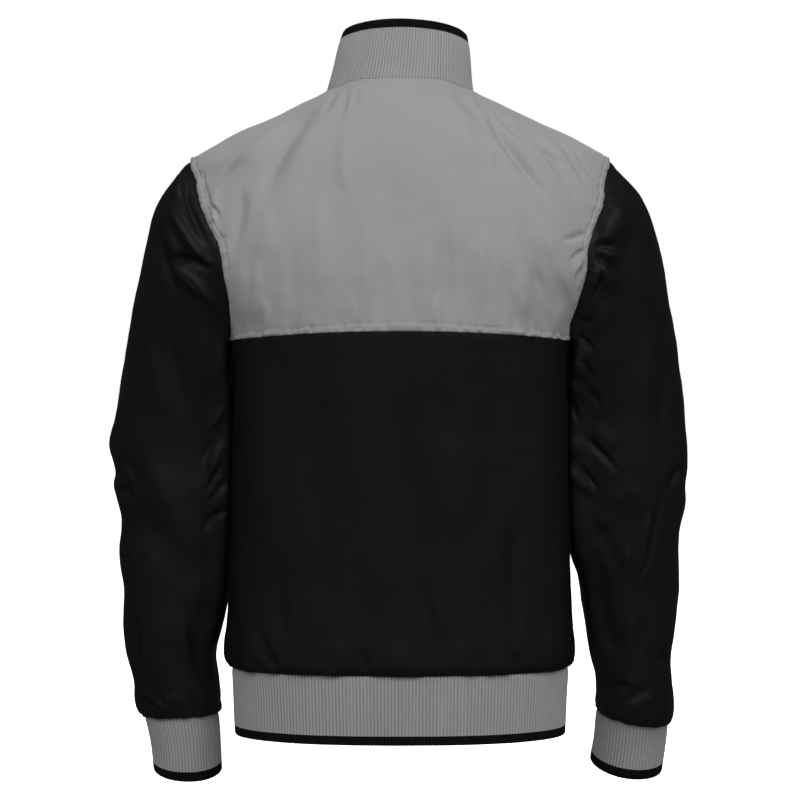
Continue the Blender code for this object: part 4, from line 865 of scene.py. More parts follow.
def noise_along(places, second, third):
    """Noise at places along a line, in their shape."""
    found = [noise.noise(Vector((place, second, third))) for place in places.ravel()]
    return np.array(found).reshape(places.shape)


def pucker_rise(run, distance, pucker, seed):
    """Little gathers at a distance from a stitched edge, uneven along its run."""
    wave = noise_along(run / pucker.pitch, seed * 5.7, 0.0)
    fine = noise_along(run / pucker.pitch * 2.1, seed * 2.3, 4.0)
    beyond = np.maximum(np.maximum(distance - pucker.high, pucker.low - distance), 0.0)
    rise = pucker.height * (wave * 1.4 + fine * 0.7) * np.exp(-(beyond / pucker.reach) ** 2)
    return rise * smooth_step(distance / pucker.pressed) if pucker.pressed else rise


# ---------------------------------------------------------------- meshes

def add_piece(name, vertices, faces, material, smooth=True):
    mesh = bpy.data.meshes.new(name)
    mesh.from_pydata([tuple(vertex) for vertex in vertices], [], faces)
    if smooth:
        mesh.shade_smooth()
    obj = bpy.data.objects.new(name, mesh)
    bpy.context.scene.collection.objects.link(obj)
    mesh.materials.append(material)
    return obj


def fix_normals(obj):
    mesh = bmesh.new()
    mesh.from_mesh(obj.data)
    bmesh.ops.recalc_face_normals(mesh, faces=mesh.faces)
    mesh.to_mesh(obj.data)
    mesh.free()


def surface_uv(points, closed=False):
    """Lengths along the cloth in both directions, in metres. A closed grid has one more column, so that
    the cloth's pattern doesn't wrap back."""
    if closed:
        points = np.concatenate((points, points[:, :1]), axis=1)
    across, upward = distance_along(points, 1)[0], distance_along(points, 0)[0]
    return np.stack((across - across[:, across.shape[1] // 2][:, None], upward), axis=-1)


def shell(name, points, normals, thickness, material, closed=False, measured=None):
    """A closed thin shell: a grid of outer points, the same points moved in, and the edges between.
    Its pattern follows the lengths along measured, a grid of the same size."""
    levels, width = points.shape[:2]
    across = width if closed else width - 1
    uv = surface_uv(points if measured is None else measured, closed)
    faces, spots = [], []

    def add(corners, flip=False):
        """Corners are (level, column, side) arrays; side 1 is the inner skin."""
        order = slice(None, None, -1 if flip else 1)
        quad = [level * width + column % width + side * levels * width for level, column, side in corners]
        spot = [level * uv.shape[1] + column for level, column, _ in corners]
        faces.append(np.stack(quad, axis=-1).reshape(-1, 4)[:, order])
        spots.append(np.stack(spot, axis=-1).reshape(-1, 4)[:, order])

    level, column = np.meshgrid(np.arange(levels - 1), np.arange(across), indexing="ij")
    for side in (0, 1):
        add([(level, column, side), (level, column + 1, side), (level + 1, column + 1, side),
             (level + 1, column, side)], flip=side == 1)
    column, level = np.arange(across), np.arange(levels - 1)
    bottom, top = np.zeros_like(column), np.full_like(column, levels - 1)
    add([(bottom, column, 0), (bottom, column, 1), (bottom, column + 1, 1), (bottom, column + 1, 0)])
    add([(top, column + 1, 0), (top, column + 1, 1), (top, column, 1), (top, column, 0)])
    if not closed:
        start, end = np.zeros_like(level), np.full_like(level, width - 1)
        add([(level + 1, start, 0), (level + 1, start, 1), (level, start, 1), (level, start, 0)])
        add([(level, end, 0), (level, end, 1), (level + 1, end, 1), (level + 1, end, 0)])
    vertices = np.concatenate((points.reshape(-1, 3), (points - normals * thickness).reshape(-1, 3)))
    obj = add_piece(name, vertices, np.concatenate(faces).tolist(), material)
    layer = obj.data.uv_layers.new(name="cloth")
    places = uv.reshape(-1, 2)[np.concatenate(spots).ravel()]
    layer.data.foreach_set("uv", places.astype(np.float32).ravel())
    return obj


# ---------------------------------------------------------------- the woven panels

def press_seam(distance, sink=SEAM_SINK):
    return -sink * np.exp(-(distance / SEAM_REACH) ** 2)


def topstitch_valley(distance, inset, depth=TOPSTITCH_SINK):
    return -depth * np.exp(-((distance - inset) / TOPSTITCH_REACH) ** 2)


def turned_edge(distance, inset):
    """An edge turned under and stitched down at an inset stands up between its seam and the stitching."""
    return (EDGE_PROUD * smooth_step((inset - distance) / EDGE_SLOPE)
            + topstitch_valley(distance, inset, EDGE_SINK))


def panel_relief(piece, behind, base, seams, seed):
    """Creases and slow wrinkles, held flat at the seams, and the pressed seams."""
    free = smooth_step(np.minimum.reduce([distance * (NECK_FREE if edge == "neck" else 1.0)
                                          for edge, distance in seams.items()]) / FOLD_FREE)
    relief = crease_rise(CREASES[piece, behind], base) * free
    for scale, height, more in PANEL_WRINKLES:
        relief += wrinkle_rise(base, scale, height, seed + more) * free
    for edge, distance in seams.items():
        relief += press_seam(distance, NECK_SINK if edge == "neck" else SEAM_SINK)
    return relief


def panel_shell(piece, base, relief, material):
    """A panel's shell, raised from its form by relief, with its outer points and directions."""
    points = base + grid_normals(base) * relief[..., None]
    normals = grid_normals(points)
    return shell(piece + "_cloth", points, normals, WOVEN, material, measured=base), points, normals


def hem_gathers(run, height, seed):
    """Cloth drawn in on the hem band: uneven little pleats that fade upwards, pressed at the seam."""
    gathers = pucker_rise(run, height, HEM_WIDE, seed) + pucker_rise(run, height, HEM_FINE, seed + 1)
    return gathers * smooth_step(height / HEM_PRESSED) + press_seam(height, HEM_SINK)


def path_at(distance, points, normals, run):
    """The line at a distance along each column of a grid: its points and outward directions."""
    return [np.array([points_at(distance, lengths, grid[:, column]) for column, lengths in enumerate(run.T)])
            for grid in (points, normals)]


def side_path(distance, side, *grids):
    """The line at a distance from a grid's first column, or from its last where side is -1."""
    return path_at(distance, *(grid[:, ::side].swapaxes(0, 1) for grid in grids))


def stitches(name, paths, material):
    """Rows of thread stitches at even steps along paths of (points, outward directions)."""
    vertices, faces = [], []
    for path, outward in paths:
        lengths = run_along(path)
        places = np.arange(STITCH_PITCH / 2.0, lengths[-1], STITCH_PITCH)
        alongs = unit(points_at(places + STITCH_AIM, lengths, path)
                      - points_at(places - STITCH_AIM, lengths, path))
        normals = unit(points_at(places, lengths, outward))
        for spot, along, normal in zip(points_at(places, lengths, path), alongs, normals):
            across = np.cross(normal, along)
            start = len(vertices)
            for share, radius in STITCH_RINGS:
                for side in range(STITCH_SIDES):
                    angle = math.tau * side / STITCH_SIDES
                    vertices.append(spot + along * share * STITCH_LENGTH
                                    + across * math.cos(angle) * radius * STITCH_RADIUS * STITCH_WIDENED
                                    + normal * (math.sin(angle) * radius + STITCH_PROUD) * STITCH_RADIUS)
            last = start + (len(STITCH_RINGS) - 1) * STITCH_SIDES
            for here in range(start, last, STITCH_SIDES):
                for side in range(STITCH_SIDES):
                    after = (side + 1) % STITCH_SIDES
                    faces.append((here + side, here + after, here + STITCH_SIDES + after,
                                  here + STITCH_SIDES + side))
            faces.append(tuple(reversed(range(start, start + STITCH_SIDES))))
            faces.append(tuple(range(last, last + STITCH_SIDES)))
    return add_piece(name, vertices, faces, material)


def yoke_points():
    left_neck, right_neck = -NECK_SEAM_TURN, 0.5 + NECK_SEAM_TURN

    def neck(share):
        return neck_point(left_neck + (right_neck - left_neck) * np.clip(share, 0.0, 1.0))

    def high(u):
        line = on_torso(neck((u - YOKE_SHOULDER) / (1 - 2 * YOKE_SHOULDER)))
        left = place_blend(armhole(1, SHOULDER), on_torso(neck_point(left_neck)),
                           np.minimum(u / YOKE_SHOULDER, 1.0))
        right = place_blend(on_torso(neck_point(right_neck)), armhole(-1, SHOULDER),
                            np.maximum((u - 1.0) / YOKE_SHOULDER + 1.0, 0.0))
        return three_parts(u, YOKE_SHOULDER, left, line, right)

    def side_edge(side):
        return lambda v: armhole(side, CORNER[side] + (SHOULDER - CORNER[side]) * v)

    across = three_runs(YOKE_SHOULDER, YOKE_SHOULDER_COLUMNS, YOKE_NECK_COLUMNS)
    upward = np.linspace(0.0, 1.0, YOKE_ROWS + 1)
    points = patch(yoke_seam, high, side_edge(1), side_edge(-1), across, upward)
    share = (across - YOKE_SHOULDER) / (1.0 - 2.0 * YOKE_SHOULDER)
    near = 1.0 - np.abs(share - np.clip(share, 0.0, 1.0)) * 3.0
    return lifted_to_neck(points, neck(share), near, upward)


def build_yoke(material, thread):
    base = yoke_points()
    from_left, from_right = distance_along(base, 1)
    from_seam, from_top = distance_along(base, 0)
    run = -base[..., 0]
    seams = {"left": from_left, "right": from_right, "low": from_seam, "neck": from_top}
    relief = panel_relief("back_yoke", True, base, seams, 1)
    relief += turned_edge(from_seam, YOKE_STRIP)
    relief += pucker_rise(run, from_seam, YOKE_EDGE, 2)
    relief += pucker_rise(run, from_top, YOKE_NECK, 3)
    relief += pucker_rise(run, from_seam, YOKE_ABOVE_EDGE, 4)
    strength = smooth_step((base[..., 2] - ARMHOLE_WEAK_BELOW) / ARMHOLE_WEAK_FADE)
    strength = ARMHOLE_WEAK + (1.0 - ARMHOLE_WEAK) * strength
    for side, distance in ((1, from_left), (-1, from_right)):
        relief += turned_edge(distance, ARMHOLE_STITCH) * strength
        relief += pucker_rise(from_seam, distance, ARMHOLE_EDGE, 5 + side) * strength
        relief += pucker_rise(from_seam, distance, ARMHOLE_BESIDE, 7 + side) * strength
        relief = np.maximum(relief, -ARMHOLE_DEEPEST - ARMHOLE_DEEPENS * distance)
    piece, points, normals = panel_shell("back_yoke", base, relief, material)
    paths = [path_at(YOKE_STRIP, points, normals, from_seam),
             side_path(ARMHOLE_STITCH, 1, points, normals, from_left),
             side_path(ARMHOLE_STITCH, -1, points, normals, from_right)]
    return piece, stitches("yoke_topstitch", paths, thread)


def build_back(material):
    def high(u):
        left = armhole(1, CORNER[1] * np.minimum(u / BACK_UNDER, 1.0))
        right = armhole(-1, CORNER[-1] * np.minimum((1.0 - u) / BACK_UNDER, 1.0))
        seam = yoke_seam(np.clip((u - BACK_UNDER) / (1.0 - 2.0 * BACK_UNDER), 0.0, 1.0))
        return three_parts(u, BACK_UNDER, left, seam, right)

    def side_seam(angle):
        return lambda v: torso(np.full_like(v, angle), HEM_TOP + (ARMPIT - HEM_TOP) * v)

    base = patch(lambda u: torso(math.pi * u, np.full_like(u, HEM_TOP)), high, side_seam(0.0),
                 side_seam(math.pi), three_runs(BACK_UNDER, BACK_UNDER_COLUMNS, BACK_COLUMNS),
                 np.linspace(0.0, 1.0, BACK_ROWS + 1))
    from_left, from_right = distance_along(base, 1)
    from_hem, from_top = distance_along(base, 0)
    seams = {"left": from_left, "right": from_right, "top": from_top}
    relief = panel_relief("back_body", True, base, seams, 11)
    relief += hem_gathers(from_left, from_hem, 12)
    relief += pucker_rise(from_left, from_top, BACK_TOP, 14)
    return panel_shell("back_body", base, relief, material)[0]


def front_points():
    """The wearer's left front, from the zip to the side."""
    armpit = (ARMPIT - HEM_TOP) / (-NECK_FALL - HEM_TOP)
    centre = -0.25 + math.asin(FRONT_OPENING / NECK_HALF_WIDTH) / math.tau

    def neck(u):
        return neck_point(centre + (-NECK_SEAM_TURN - centre) * np.minimum(u / FRONT_NECK, 1.0))

    def high(u):
        shoulder = place_blend(on_torso(neck_point(-NECK_SEAM_TURN)), armhole(1, SHOULDER),
                               np.maximum((u - FRONT_NECK) / (1.0 - FRONT_NECK), 0.0))
        return np.where((u < FRONT_NECK)[:, None], on_torso(neck(u)), shoulder)

    def low(u):
        return torso(front_angle(FRONT_OPENING, HEM_TOP) * (1.0 - u), np.full_like(u, HEM_TOP))

    def first(v):
        height = HEM_TOP + (neck_point(centre)[2] - HEM_TOP) * v
        return torso(front_angle(FRONT_OPENING, height), height)

    def last(v):
        below = torso(np.zeros_like(v), HEM_TOP + (ARMPIT - HEM_TOP) * np.minimum(v / armpit, 1.0))
        above = armhole(1, 1.0 + (SHOULDER - 1.0) * np.maximum((v - armpit) / (1.0 - armpit), 0.0))
        return np.where((v < armpit)[:, None], below, above)

    across = np.concatenate((even(0.0, FRONT_NECK, FRONT_NECK_COLUMNS),
                             np.linspace(FRONT_NECK, 1.0, FRONT_SIDE_COLUMNS + 1)))
    upward = np.concatenate((even(0.0, armpit, FRONT_LOW_ROWS),
                             np.linspace(armpit, 1.0, FRONT_HIGH_ROWS + 1)))
    return lifted_to_neck(patch(low, high, first, last, across, upward), neck(across),
                          1.0 - np.maximum(across - FRONT_NECK, 0.0) * 6.0, upward)


def build_front(name, side, material, seed):
    base = front_points()
    base[..., 0] *= side
    base = base[:, ::side]
    from_centre, from_side = distance_along(base, 1)[::side]
    from_hem, from_top = distance_along(base, 0)
    relief = panel_relief(name, False, base, {"side": from_side, "top": from_top}, seed)
    relief *= smooth_step(from_centre / ZIP_FREE)
    relief += topstitch_valley(from_centre, ZIP_STITCH)
    relief += hem_gathers(from_side, from_hem, seed + 1) * smooth_step(from_centre / ZIP_GATHERS_FREE)
    relief += pucker_rise(from_hem, from_centre, FRONT_ZIP, seed + 2)
    relief += pucker_rise(from_hem, from_side, FRONT_SIDE, seed + 4)
    piece, points, normals = panel_shell(name, base, relief, material)
    return piece, side_path(ZIP_STITCH, side, points, normals, from_centre)


# ---------------------------------------------------------------- sleeves

def ring_points(row, turn, side):
    """A sleeve's section: turn 0 is beside the body and a quarter is behind."""
    angle = turn * math.tau
    power = 2.0 / row.squareness
    across = -signed_power(np.cos(angle), power) / 2.0
    deep = row.half_depth * signed_power(np.sin(angle), power)
    return np.stack((side * ((row.inner_x + row.outer_x) / 2.0 + across * (row.outer_x - row.inner_x)),
                     row.middle + deep,
                     (row.inner_z + row.outer_z) / 2.0 + across * (row.outer_z - row.inner_z)
                     - row.fall * deep), axis=-1)


def sleeve_base(side, rows, turns):
    """A sleeve's grid from the armhole to the cuff, and the edge that goes on under the body's cloth."""
    here = armhole(side, turns)
    along = unit(armhole(side, turns + TURN_STEP) - armhole(side, turns - TURN_STEP))
    depth, height = armhole_side_view(side, turns)
    angle = angle_at_depth(side, depth, height)
    out = unit(np.cross(torso(angle + ANGLE_STEP, height) - torso(angle - ANGLE_STEP, height),
                        torso(angle, height + SIDE_STEP) - torso(angle, height - SIDE_STEP)))
    away = side * unit(np.cross(out, along))
    toward = unit(ring_points(rows[0], turns, side) - here)
    reach = (toward * away).sum(axis=-1, keepdims=True)
    start = np.where(reach > 0.3, here + toward * SEAM_GAP, here + (toward + 2.0 * out) * SEAM_GAP)
    rings = np.stack([start] + [ring_points(row, turns, side) for row in rows])
    base = read_table(np.arange(len(rings)), rings, np.linspace(0.0, len(rings) - 1.0, SLEEVE_ROWS + 1))
    return base, start - away * ALLOWANCE - out * ALLOWANCE_DEPTH


def build_sleeve(name, side, rows, material, seed):
    turns = np.concatenate((even(0.0, 0.5, SLEEVE_BACK_COLUMNS), even(0.5, 1.0, SLEEVE_FRONT_COLUMNS)))
    base, under = sleeve_base(side, rows, turns)
    base = base + corner_drawn(base, turns)
    swell = body_swell(base, turns)[:, ::side]
    base, under = base[:, ::side], under[::side]
    from_arm, from_cuff = distance_along(base, 0)
    around = np.cumsum(np.linalg.norm(base - np.roll(base, 1, axis=1), axis=-1), axis=1)
    depth = base[..., 1] - base[..., 1].mean(axis=1, keepdims=True)
    relief = np.where(depth > 0.0, crease_rise(CREASES[name, True], base),
                      crease_rise(CREASES[name, False], base))
    relief *= smooth_step(np.abs(depth) / np.abs(depth).max(axis=1, keepdims=True) / 0.25)
    (wide, high, more), (fine, low, other) = SLEEVE_WRINKLES
    relief += wrinkle_rise(base, wide, high, seed + more) + swell
    relief += wrinkle_rise(base, fine, low, seed + other)
    relief *= smooth_step(from_arm / ARM_FREE) * smooth_step(from_cuff / CUFF_FREE)
    relief += pucker_rise(around, from_cuff, SLEEVE_CUFF, seed + 5)
    relief += pucker_rise(around, from_arm, SLEEVE_ARM, seed + 6)
    relief += press_seam(from_arm) + press_seam(from_cuff, CUFF_SINK)
    raised = base + grid_normals(base, closed=True) * relief[..., None]
    points = np.concatenate((under[None], clear_of_body(raised, from_arm, side)))
    return shell(name + "_cloth", points, grid_normals(points, closed=True), WOVEN, material, closed=True)


def body_swell(base, turns):
    """The sleeve fills out beside the body, and squares off behind there."""
    near = (turns + 0.5) % 1.0 - 0.5
    height = base[..., 2]
    beside, = table_columns(BESIDE_BODY, height)
    upper = smooth_step((height + 0.58) / 0.10) * smooth_step((ARM_TOP - height) / ARM_FADE)
    return (beside * np.exp(-((near + 0.03) / 0.07) ** 2)[None]
            + BACK_SWELL * upper * np.exp(-((near - 0.13) / 0.065) ** 2)[None])


def corner_drawn(base, turns):
    """How a sleeve's corner beside the body is drawn back and in, so that it lies nearly square there."""
    near = (turns + 0.5) % 1.0 - 0.5
    height = base[..., 2]
    along = (smooth_step((height + 0.66) / 0.08) * (0.55 + 0.45 * smooth_step((height + 0.57) / 0.12))
             * smooth_step((ARM_TOP - height) / ARM_FADE))
    back = along * (smooth_step((near + 0.03) / 0.05) * smooth_step((0.16 - near) / 0.10))[None]
    inward = along * (smooth_step((near - 0.005) / 0.03) * smooth_step((0.12 - near) / 0.06))[None]
    inner = base[:, :1, 0]
    moved = np.zeros_like(base)
    moved[..., 0] = (inner - base[..., 0]) * CORNER_SQUARED * back - np.sign(inner) * CORNER_IN * inward
    moved[..., 1] = CORNER_DRAWN * back
    return moved


def clear_of_body(points, from_arm, side):
    """A sleeve's points, those that would touch the body moved off it."""
    across, depth, height = np.abs(points[..., 0]), points[..., 1], points[..., 2]
    beside = (height > HEM_TOP) & (height < ARMPIT + SEAM_ABOVE_ARMPIT)
    beside &= across < across.mean(axis=1, keepdims=True)
    angle = angle_at_depth(side, depth[beside], height[beside])
    from_arm = from_arm[beside]
    limit = (np.abs(torso(angle, height[beside])[..., 0])
             + BESIDE_GAP * smooth_step(from_arm / BESIDE_FADE)
             - SEAM_LET_IN * (1.0 - smooth_step(from_arm / SEAM_LET_FADE)))
    gap = across[beside] - limit
    points[..., 0][beside] = side * (limit + (gap + np.sqrt(gap ** 2 + GAP_ROUNDED ** 2)) / 2.0)
    return points


# ---------------------------------------------------------------- rib knit

def rib_profile(turns, ribs, seed):
    """0 at a rib's crest and -1 in the groove; the crests are broad and a little uneven."""
    place = turns * ribs
    wave = np.abs(np.cos(math.pi * place)) ** RIB_BROAD
    index = np.round(place).astype(int) % ribs
    random = np.random.default_rng(seed)
    uneven = 1.0 + random.uniform(-RIB_UNEVEN, RIB_UNEVEN, ribs)
    return (wave - 1.0) * uneven[index] - random.uniform(0.0, GROOVE_UNEVEN, ribs)[index]


def rib_band(name, curve, steps, tip, ribs, closed, seed, materials, sink=SEAM_SINK):
    """A knitted band from rings of curve(share, level): ribs outside and in, and a rounded free edge.

    Levels run from the sewn edge, 0, to the free edge, 1; past tip the knit is black. Steps are the
    numbers of rings up to there and from there."""
    plain, dark = steps
    levels = np.concatenate((BAND_STARTS, np.linspace(BAND_STARTS[-1], tip, plain + 1)[1:],
                             np.linspace(tip, 1.0, dark + 1)[1:]))
    shares = np.arange(ribs * RIB_COLUMNS + (0 if closed else 1)) / (ribs * RIB_COLUMNS)
    rows = []
    for level in levels:
        line = curve(np.linspace(0.0, 1.0, BAND_POINTS), level)
        lengths = run_along(line)
        rows.append(points_at(shares * lengths[-1], lengths, line))
    rows = np.array(rows)
    normals = grid_normals(rows, closed)
    if (normals * (rows - rows.mean(axis=1, keepdims=True))).sum(axis=-1).mean() < 0.0:
        normals = -normals
    profile = rib_profile(shares, ribs, seed)[None, :]
    sewn = np.exp(-(levels / BAND_SEWN) ** 2)[:, None]
    soft = BAND_WAVE * np.array([noise_along(shares * ribs / WAVE_RIBS, level * 1.6, seed * 3.3)
                                 for level in levels])
    relief = profile * RIB_DEPTH + soft * (1.0 - sewn) - sewn * sink
    depth = KNIT + (-1.0 - profile) * RIB_DEPTH * RIB_INSIDE - soft * (1.0 - sewn)
    tuck = -unit(rows[1] - rows[0]) * TUCK_DOWN - normals[0] * TUCK_IN
    outer, inner = rows + normals * relief[..., None], rows - normals * depth[..., None]
    outer, inner = (np.concatenate(((face[0] + tuck)[None], face)) for face in (outer, inner))
    centre, radius = (outer[-1] + inner[-1]) / 2.0, (outer[-1] - inner[-1]) / 2.0
    rise = unit(rows[-1] - rows[-2]) * np.linalg.norm(radius, axis=-1, keepdims=True)
    lip = [centre + radius * math.cos(angle) + rise * math.sin(angle) * LIP_ROUND
           for angle in (math.pi * step / LIP_STEPS for step in range(1, LIP_STEPS))]
    loop = np.concatenate((outer, np.array(lip), inner[::-1]))
    count, width = loop.shape[:2]
    level, column = np.indices((count, width if closed else width - 1))
    above, after = (level + 1) % count * width, (column + 1) % width
    level = level * width
    corners = (level + column, level + after, above + after, above + column)
    faces = np.stack(corners, axis=-1).reshape(-1, 4).tolist()
    stripe = [False] + [bool(place >= tip - 1e-6) for place in levels]
    stripes = stripe[:-1] + [True] * LIP_STEPS + stripe[-2::-1] + [False]
    black = np.repeat(stripes, column.shape[1]).astype(np.int32)
    if not closed:
        faces.append(range(0, count * width, width)[::-1])
        faces.append(range(width - 1, count * width, width))
        black = np.append(black, (0, 0)).astype(np.int32)
    piece = add_piece(name, loop.reshape(-1, 3), faces, materials[0])
    piece.data.materials.append(materials[1])
    piece.data.polygons.foreach_set("material_index", black)
    # Painted shade mask: per point, 1 on a rib's crest down to 0 in its groove on the outer skin, and 1 on
    # the lip and the inner skin; the knit's material darkens its colour by this.
    shade = np.tile(1.0 + profile, (count, 1))
    shade[len(outer):] = 1.0
    groove_shading = piece.data.attributes.new("rib", "FLOAT", "POINT")
    groove_shading.data.foreach_set("value", np.clip(shade, 0.0, 1.0).ravel().astype(np.float32))
    fix_normals(piece)
    return piece


def hem_curve(share, level):
    height = HEM_TOP - SEAM_GAP + (HEM_BOTTOM - HEM_TOP + SEAM_GAP) * level
    start = front_angle(FRONT_OPENING, height)
    angle = start + (math.pi - 2.0 * start) * share
    return torso(angle, np.full_like(angle, height))


def collar_top(angle):
    rise = np.sin(angle)
    far = np.where(rise >= 0.0, COLLAR_TOP_BACK, COLLAR_TOP_FRONT)
    return COLLAR_TOP_SIDE + (far - COLLAR_TOP_SIDE) * np.abs(rise) + COLLAR_TOP_LEAN * np.cos(angle)


def collar_point(share, angle):
    half_width, back, front, lean, squareness = table_columns(COLLAR, share)
    power = 2.0 / squareness
    depth = np.where(np.sin(angle) >= 0.0, back, front)
    base = neck_point(angle / math.tau)[..., 2] + SEAM_GAP
    lean = lean * smooth_step((np.sin(angle) + 1.0) / 1.2)
    return np.stack((lean + half_width * signed_power(np.cos(angle), power),
                     depth * signed_power(np.sin(angle), power),
                     base + (collar_top(angle) - base) * share), axis=-1)


def collar_curve(share, level):
    start = -math.acos(FRONT_OPENING / NECK_HALF_WIDTH)
    return collar_point(level, start + (math.pi - 2.0 * start) * share)


def cuff_curve(rows, side):
    def curve(share, level):
        row = Ring(*(read_table(range(len(rows)), column, level * 2.0) for column in np.array(rows).T))
        return ring_points(row, share, side)
    return curve


def build_bands(*materials):
    pieces = {}
    tip = 1.0 - TIP_HEIGHT / (HEM_TOP - HEM_BOTTOM)
    pieces["hem_band"] = rib_band("hem_band_knit", hem_curve, (6, 2), tip, HEM_RIBS, False, 21, materials)
    tip = 1.0 - TIP_HEIGHT / (COLLAR_TOP_BACK - NECK_RISE)
    pieces["collar"] = rib_band("collar_knit", collar_curve, (8, 3), tip, COLLAR_RIBS, False, 22, materials,
                                NECK_SINK)
    for name, side, rows, seed in (("cuff_left", 1, CUFF_LEFT, 23), ("cuff_right", -1, CUFF_RIGHT, 24)):
        tip = 1.0 - TIP_HEIGHT / abs(rows[2].inner_z - rows[1].inner_z) / 2.0
        pieces[name] = rib_band(name + "_knit", cuff_curve(rows, side), (7, 2), tip, CUFF_RIBS, True, seed,
                                materials)
    return pieces


# ---------------------------------------------------------------- zip

def zip_frame(low, high_gap, pitch=None):
    """Points, directions up and directions out along the zip, up the front and the collar, from a length
    above the hem's edge to a gap below the collar's: a pitch apart, or in the tapes' rows."""
    heights = np.arange(HEM_BOTTOM, -NECK_FALL - ZIP_BELOW_NECK, ZIP_SPACING)
    front = table_columns(TORSO, heights)[2]
    collar = np.array([collar_point(row.share, -math.pi / 2.0) for row in COLLAR])
    collar[:, 0] = 0.0
    line = np.concatenate((np.stack((np.zeros_like(heights), -front, heights), axis=-1), collar))
    lengths = run_along(line)
    high = lengths[-1] - high_gap
    at = np.arange(low, high, pitch) if pitch else np.linspace(low, high, TAPE_ROWS + 1)
    upward = unit(points_at(np.minimum(at + SIDE_STEP, lengths[-1]), lengths, line)
                  - points_at(np.maximum(at - SIDE_STEP, 0.0), lengths, line))
    return points_at(at, lengths, line), upward, np.cross(upward, -ACROSS)


def clear_selection():
    for obj in bpy.context.selected_objects:
        obj.select_set(False)


def model_tooth():
    """One moulded tooth, as modelled: a block with rounded edges."""
    clear_selection()
    bpy.ops.mesh.primitive_cube_add(size=1.0, location=(0.0, 0.0, 0.0))
    tooth = bpy.context.object
    tooth.scale = (TOOTH_WIDTH, TOOTH_DEPTH, TOOTH_HEIGHT)
    bpy.ops.object.transform_apply(location=False, rotation=False, scale=True)
    bpy.ops.object.mode_set(mode="EDIT")
    bpy.ops.mesh.select_all(action="SELECT")
    bpy.ops.mesh.bevel(offset=TOOTH_BEVEL, segments=1, affect="EDGES")
    bpy.ops.object.mode_set(mode="OBJECT")
    vertices = np.array([vertex.co[:] for vertex in tooth.data.vertices])
    faces = [tuple(face.vertices) for face in tooth.data.polygons]
    bpy.data.objects.remove(tooth)
    return vertices, faces


def build_teeth(material):
    tooth, tooth_faces = model_tooth()
    vertices, faces = [], []
    chain = zip_frame(BOX_HEIGHT + CHAIN_ENDS, SLIDER_BELOW_TOP - CHAIN_ENDS, TOOTH_PITCH / 2.0)
    for index, (spot, up, out) in enumerate(zip(*chain)):
        side = 1.0 if index % 2 else -1.0
        start = len(vertices)
        for x, y, z in tooth:
            vertices.append(spot + ACROSS * (x + side * TOOTH_WIDTH * TOOTH_ASIDE)
                            + out * (y + CHAIN_PROUD - TOOTH_DEPTH / 2.0) + up * z)
        faces += [tuple(start + corner for corner in face) for face in tooth_faces]
    piece = add_piece("zip_teeth", vertices, faces, material, smooth=False)
    fix_normals(piece)
    return piece


def build_tapes(material):
    """The two tapes, from behind the fronts to the teeth, with a corded edge under the teeth."""
    spots, _, outward = zip_frame(TAPE_ABOVE_HEM, TAPE_BELOW_TOP)
    pieces = []
    for side, name in ((1, "zip_tape_left"), (-1, "zip_tape_right")):
        across = np.linspace(TAPE_INNER, TAPE_HALF_WIDTH, TAPE_COLUMNS)
        cord = CORD_RADIUS * np.exp(-((across - CORD_PLACE) / CORD_RADIUS) ** 2)
        points = (spots[:, None] + ACROSS * side * across[None, :, None]
                  + outward[:, None] * (cord - TAPE_DEPTH + TAPE_RAISED)[None, :, None])[:, ::side]
        normals = np.broadcast_to(outward[:, None], points.shape)
        pieces.append(shell(name, points, normals, TAPE_THICKNESS, material))
    return pieces


# ---------------------------------------------------------------- finishes

METRE_BANDS = 0.318       # the scale of a wave whose bands are a metre apart


def grey(value):
    return (value, value, value, 1.0)


def new_material(name, roughness, specular, sheen=0.0, sheen_roughness=0.5, metallic=0.0):
    """A material's node tree, its shader and a node for the places on its object."""
    material = bpy.data.materials.new(name)
    material.use_nodes = True
    tree = material.node_tree
    shader = tree.nodes["Principled BSDF"]
    for socket, value in (("Roughness", roughness), ("Specular IOR Level", specular), ("Metallic", metallic),
                          ("Sheen Weight", sheen), ("Sheen Roughness", sheen_roughness)):
        shader.inputs[socket].default_value = value
    return material, tree, shader, tree.nodes.new("ShaderNodeTexCoord")


def node(tree, kind, **values):
    made = tree.nodes.new(kind)
    for name, value in values.items():
        if hasattr(made, name):
            setattr(made, name, value)
        else:
            made.inputs[name.replace("_", " ")].default_value = value
    return made


def link(tree, source, output, target, socket):
    tree.links.new(source.outputs[output], target.inputs[socket])


def texture(tree, place, kind, output="Object", **values):
    made = node(tree, kind, **values)
    link(tree, place, output, made, "Vector")
    return made


def bump(tree, height, output, target, **values):
    """Bump by a node's output, on the way to the target's normal."""
    made = node(tree, "ShaderNodeBump", **values)
    link(tree, height, output, made, "Height")
    link(tree, made, "Normal", target, "Normal")
    return made


def mottled(tree, shader, place, dark, light, scale):
    """Base colour between two colours by a soft noise."""
    patches = texture(tree, place, "ShaderNodeTexNoise", Scale=scale, Detail=3.0, Roughness=0.6)
    ramp = tree.nodes.new("ShaderNodeValToRGB")
    for element, position, colour in zip(ramp.color_ramp.elements, (0.3, 0.7), (dark, light)):
        element.position = position
        element.color = (*colour, 1.0)
    link(tree, patches, "Fac", ramp, "Fac")
    link(tree, ramp, "Color", shader, "Base Color")
    return ramp


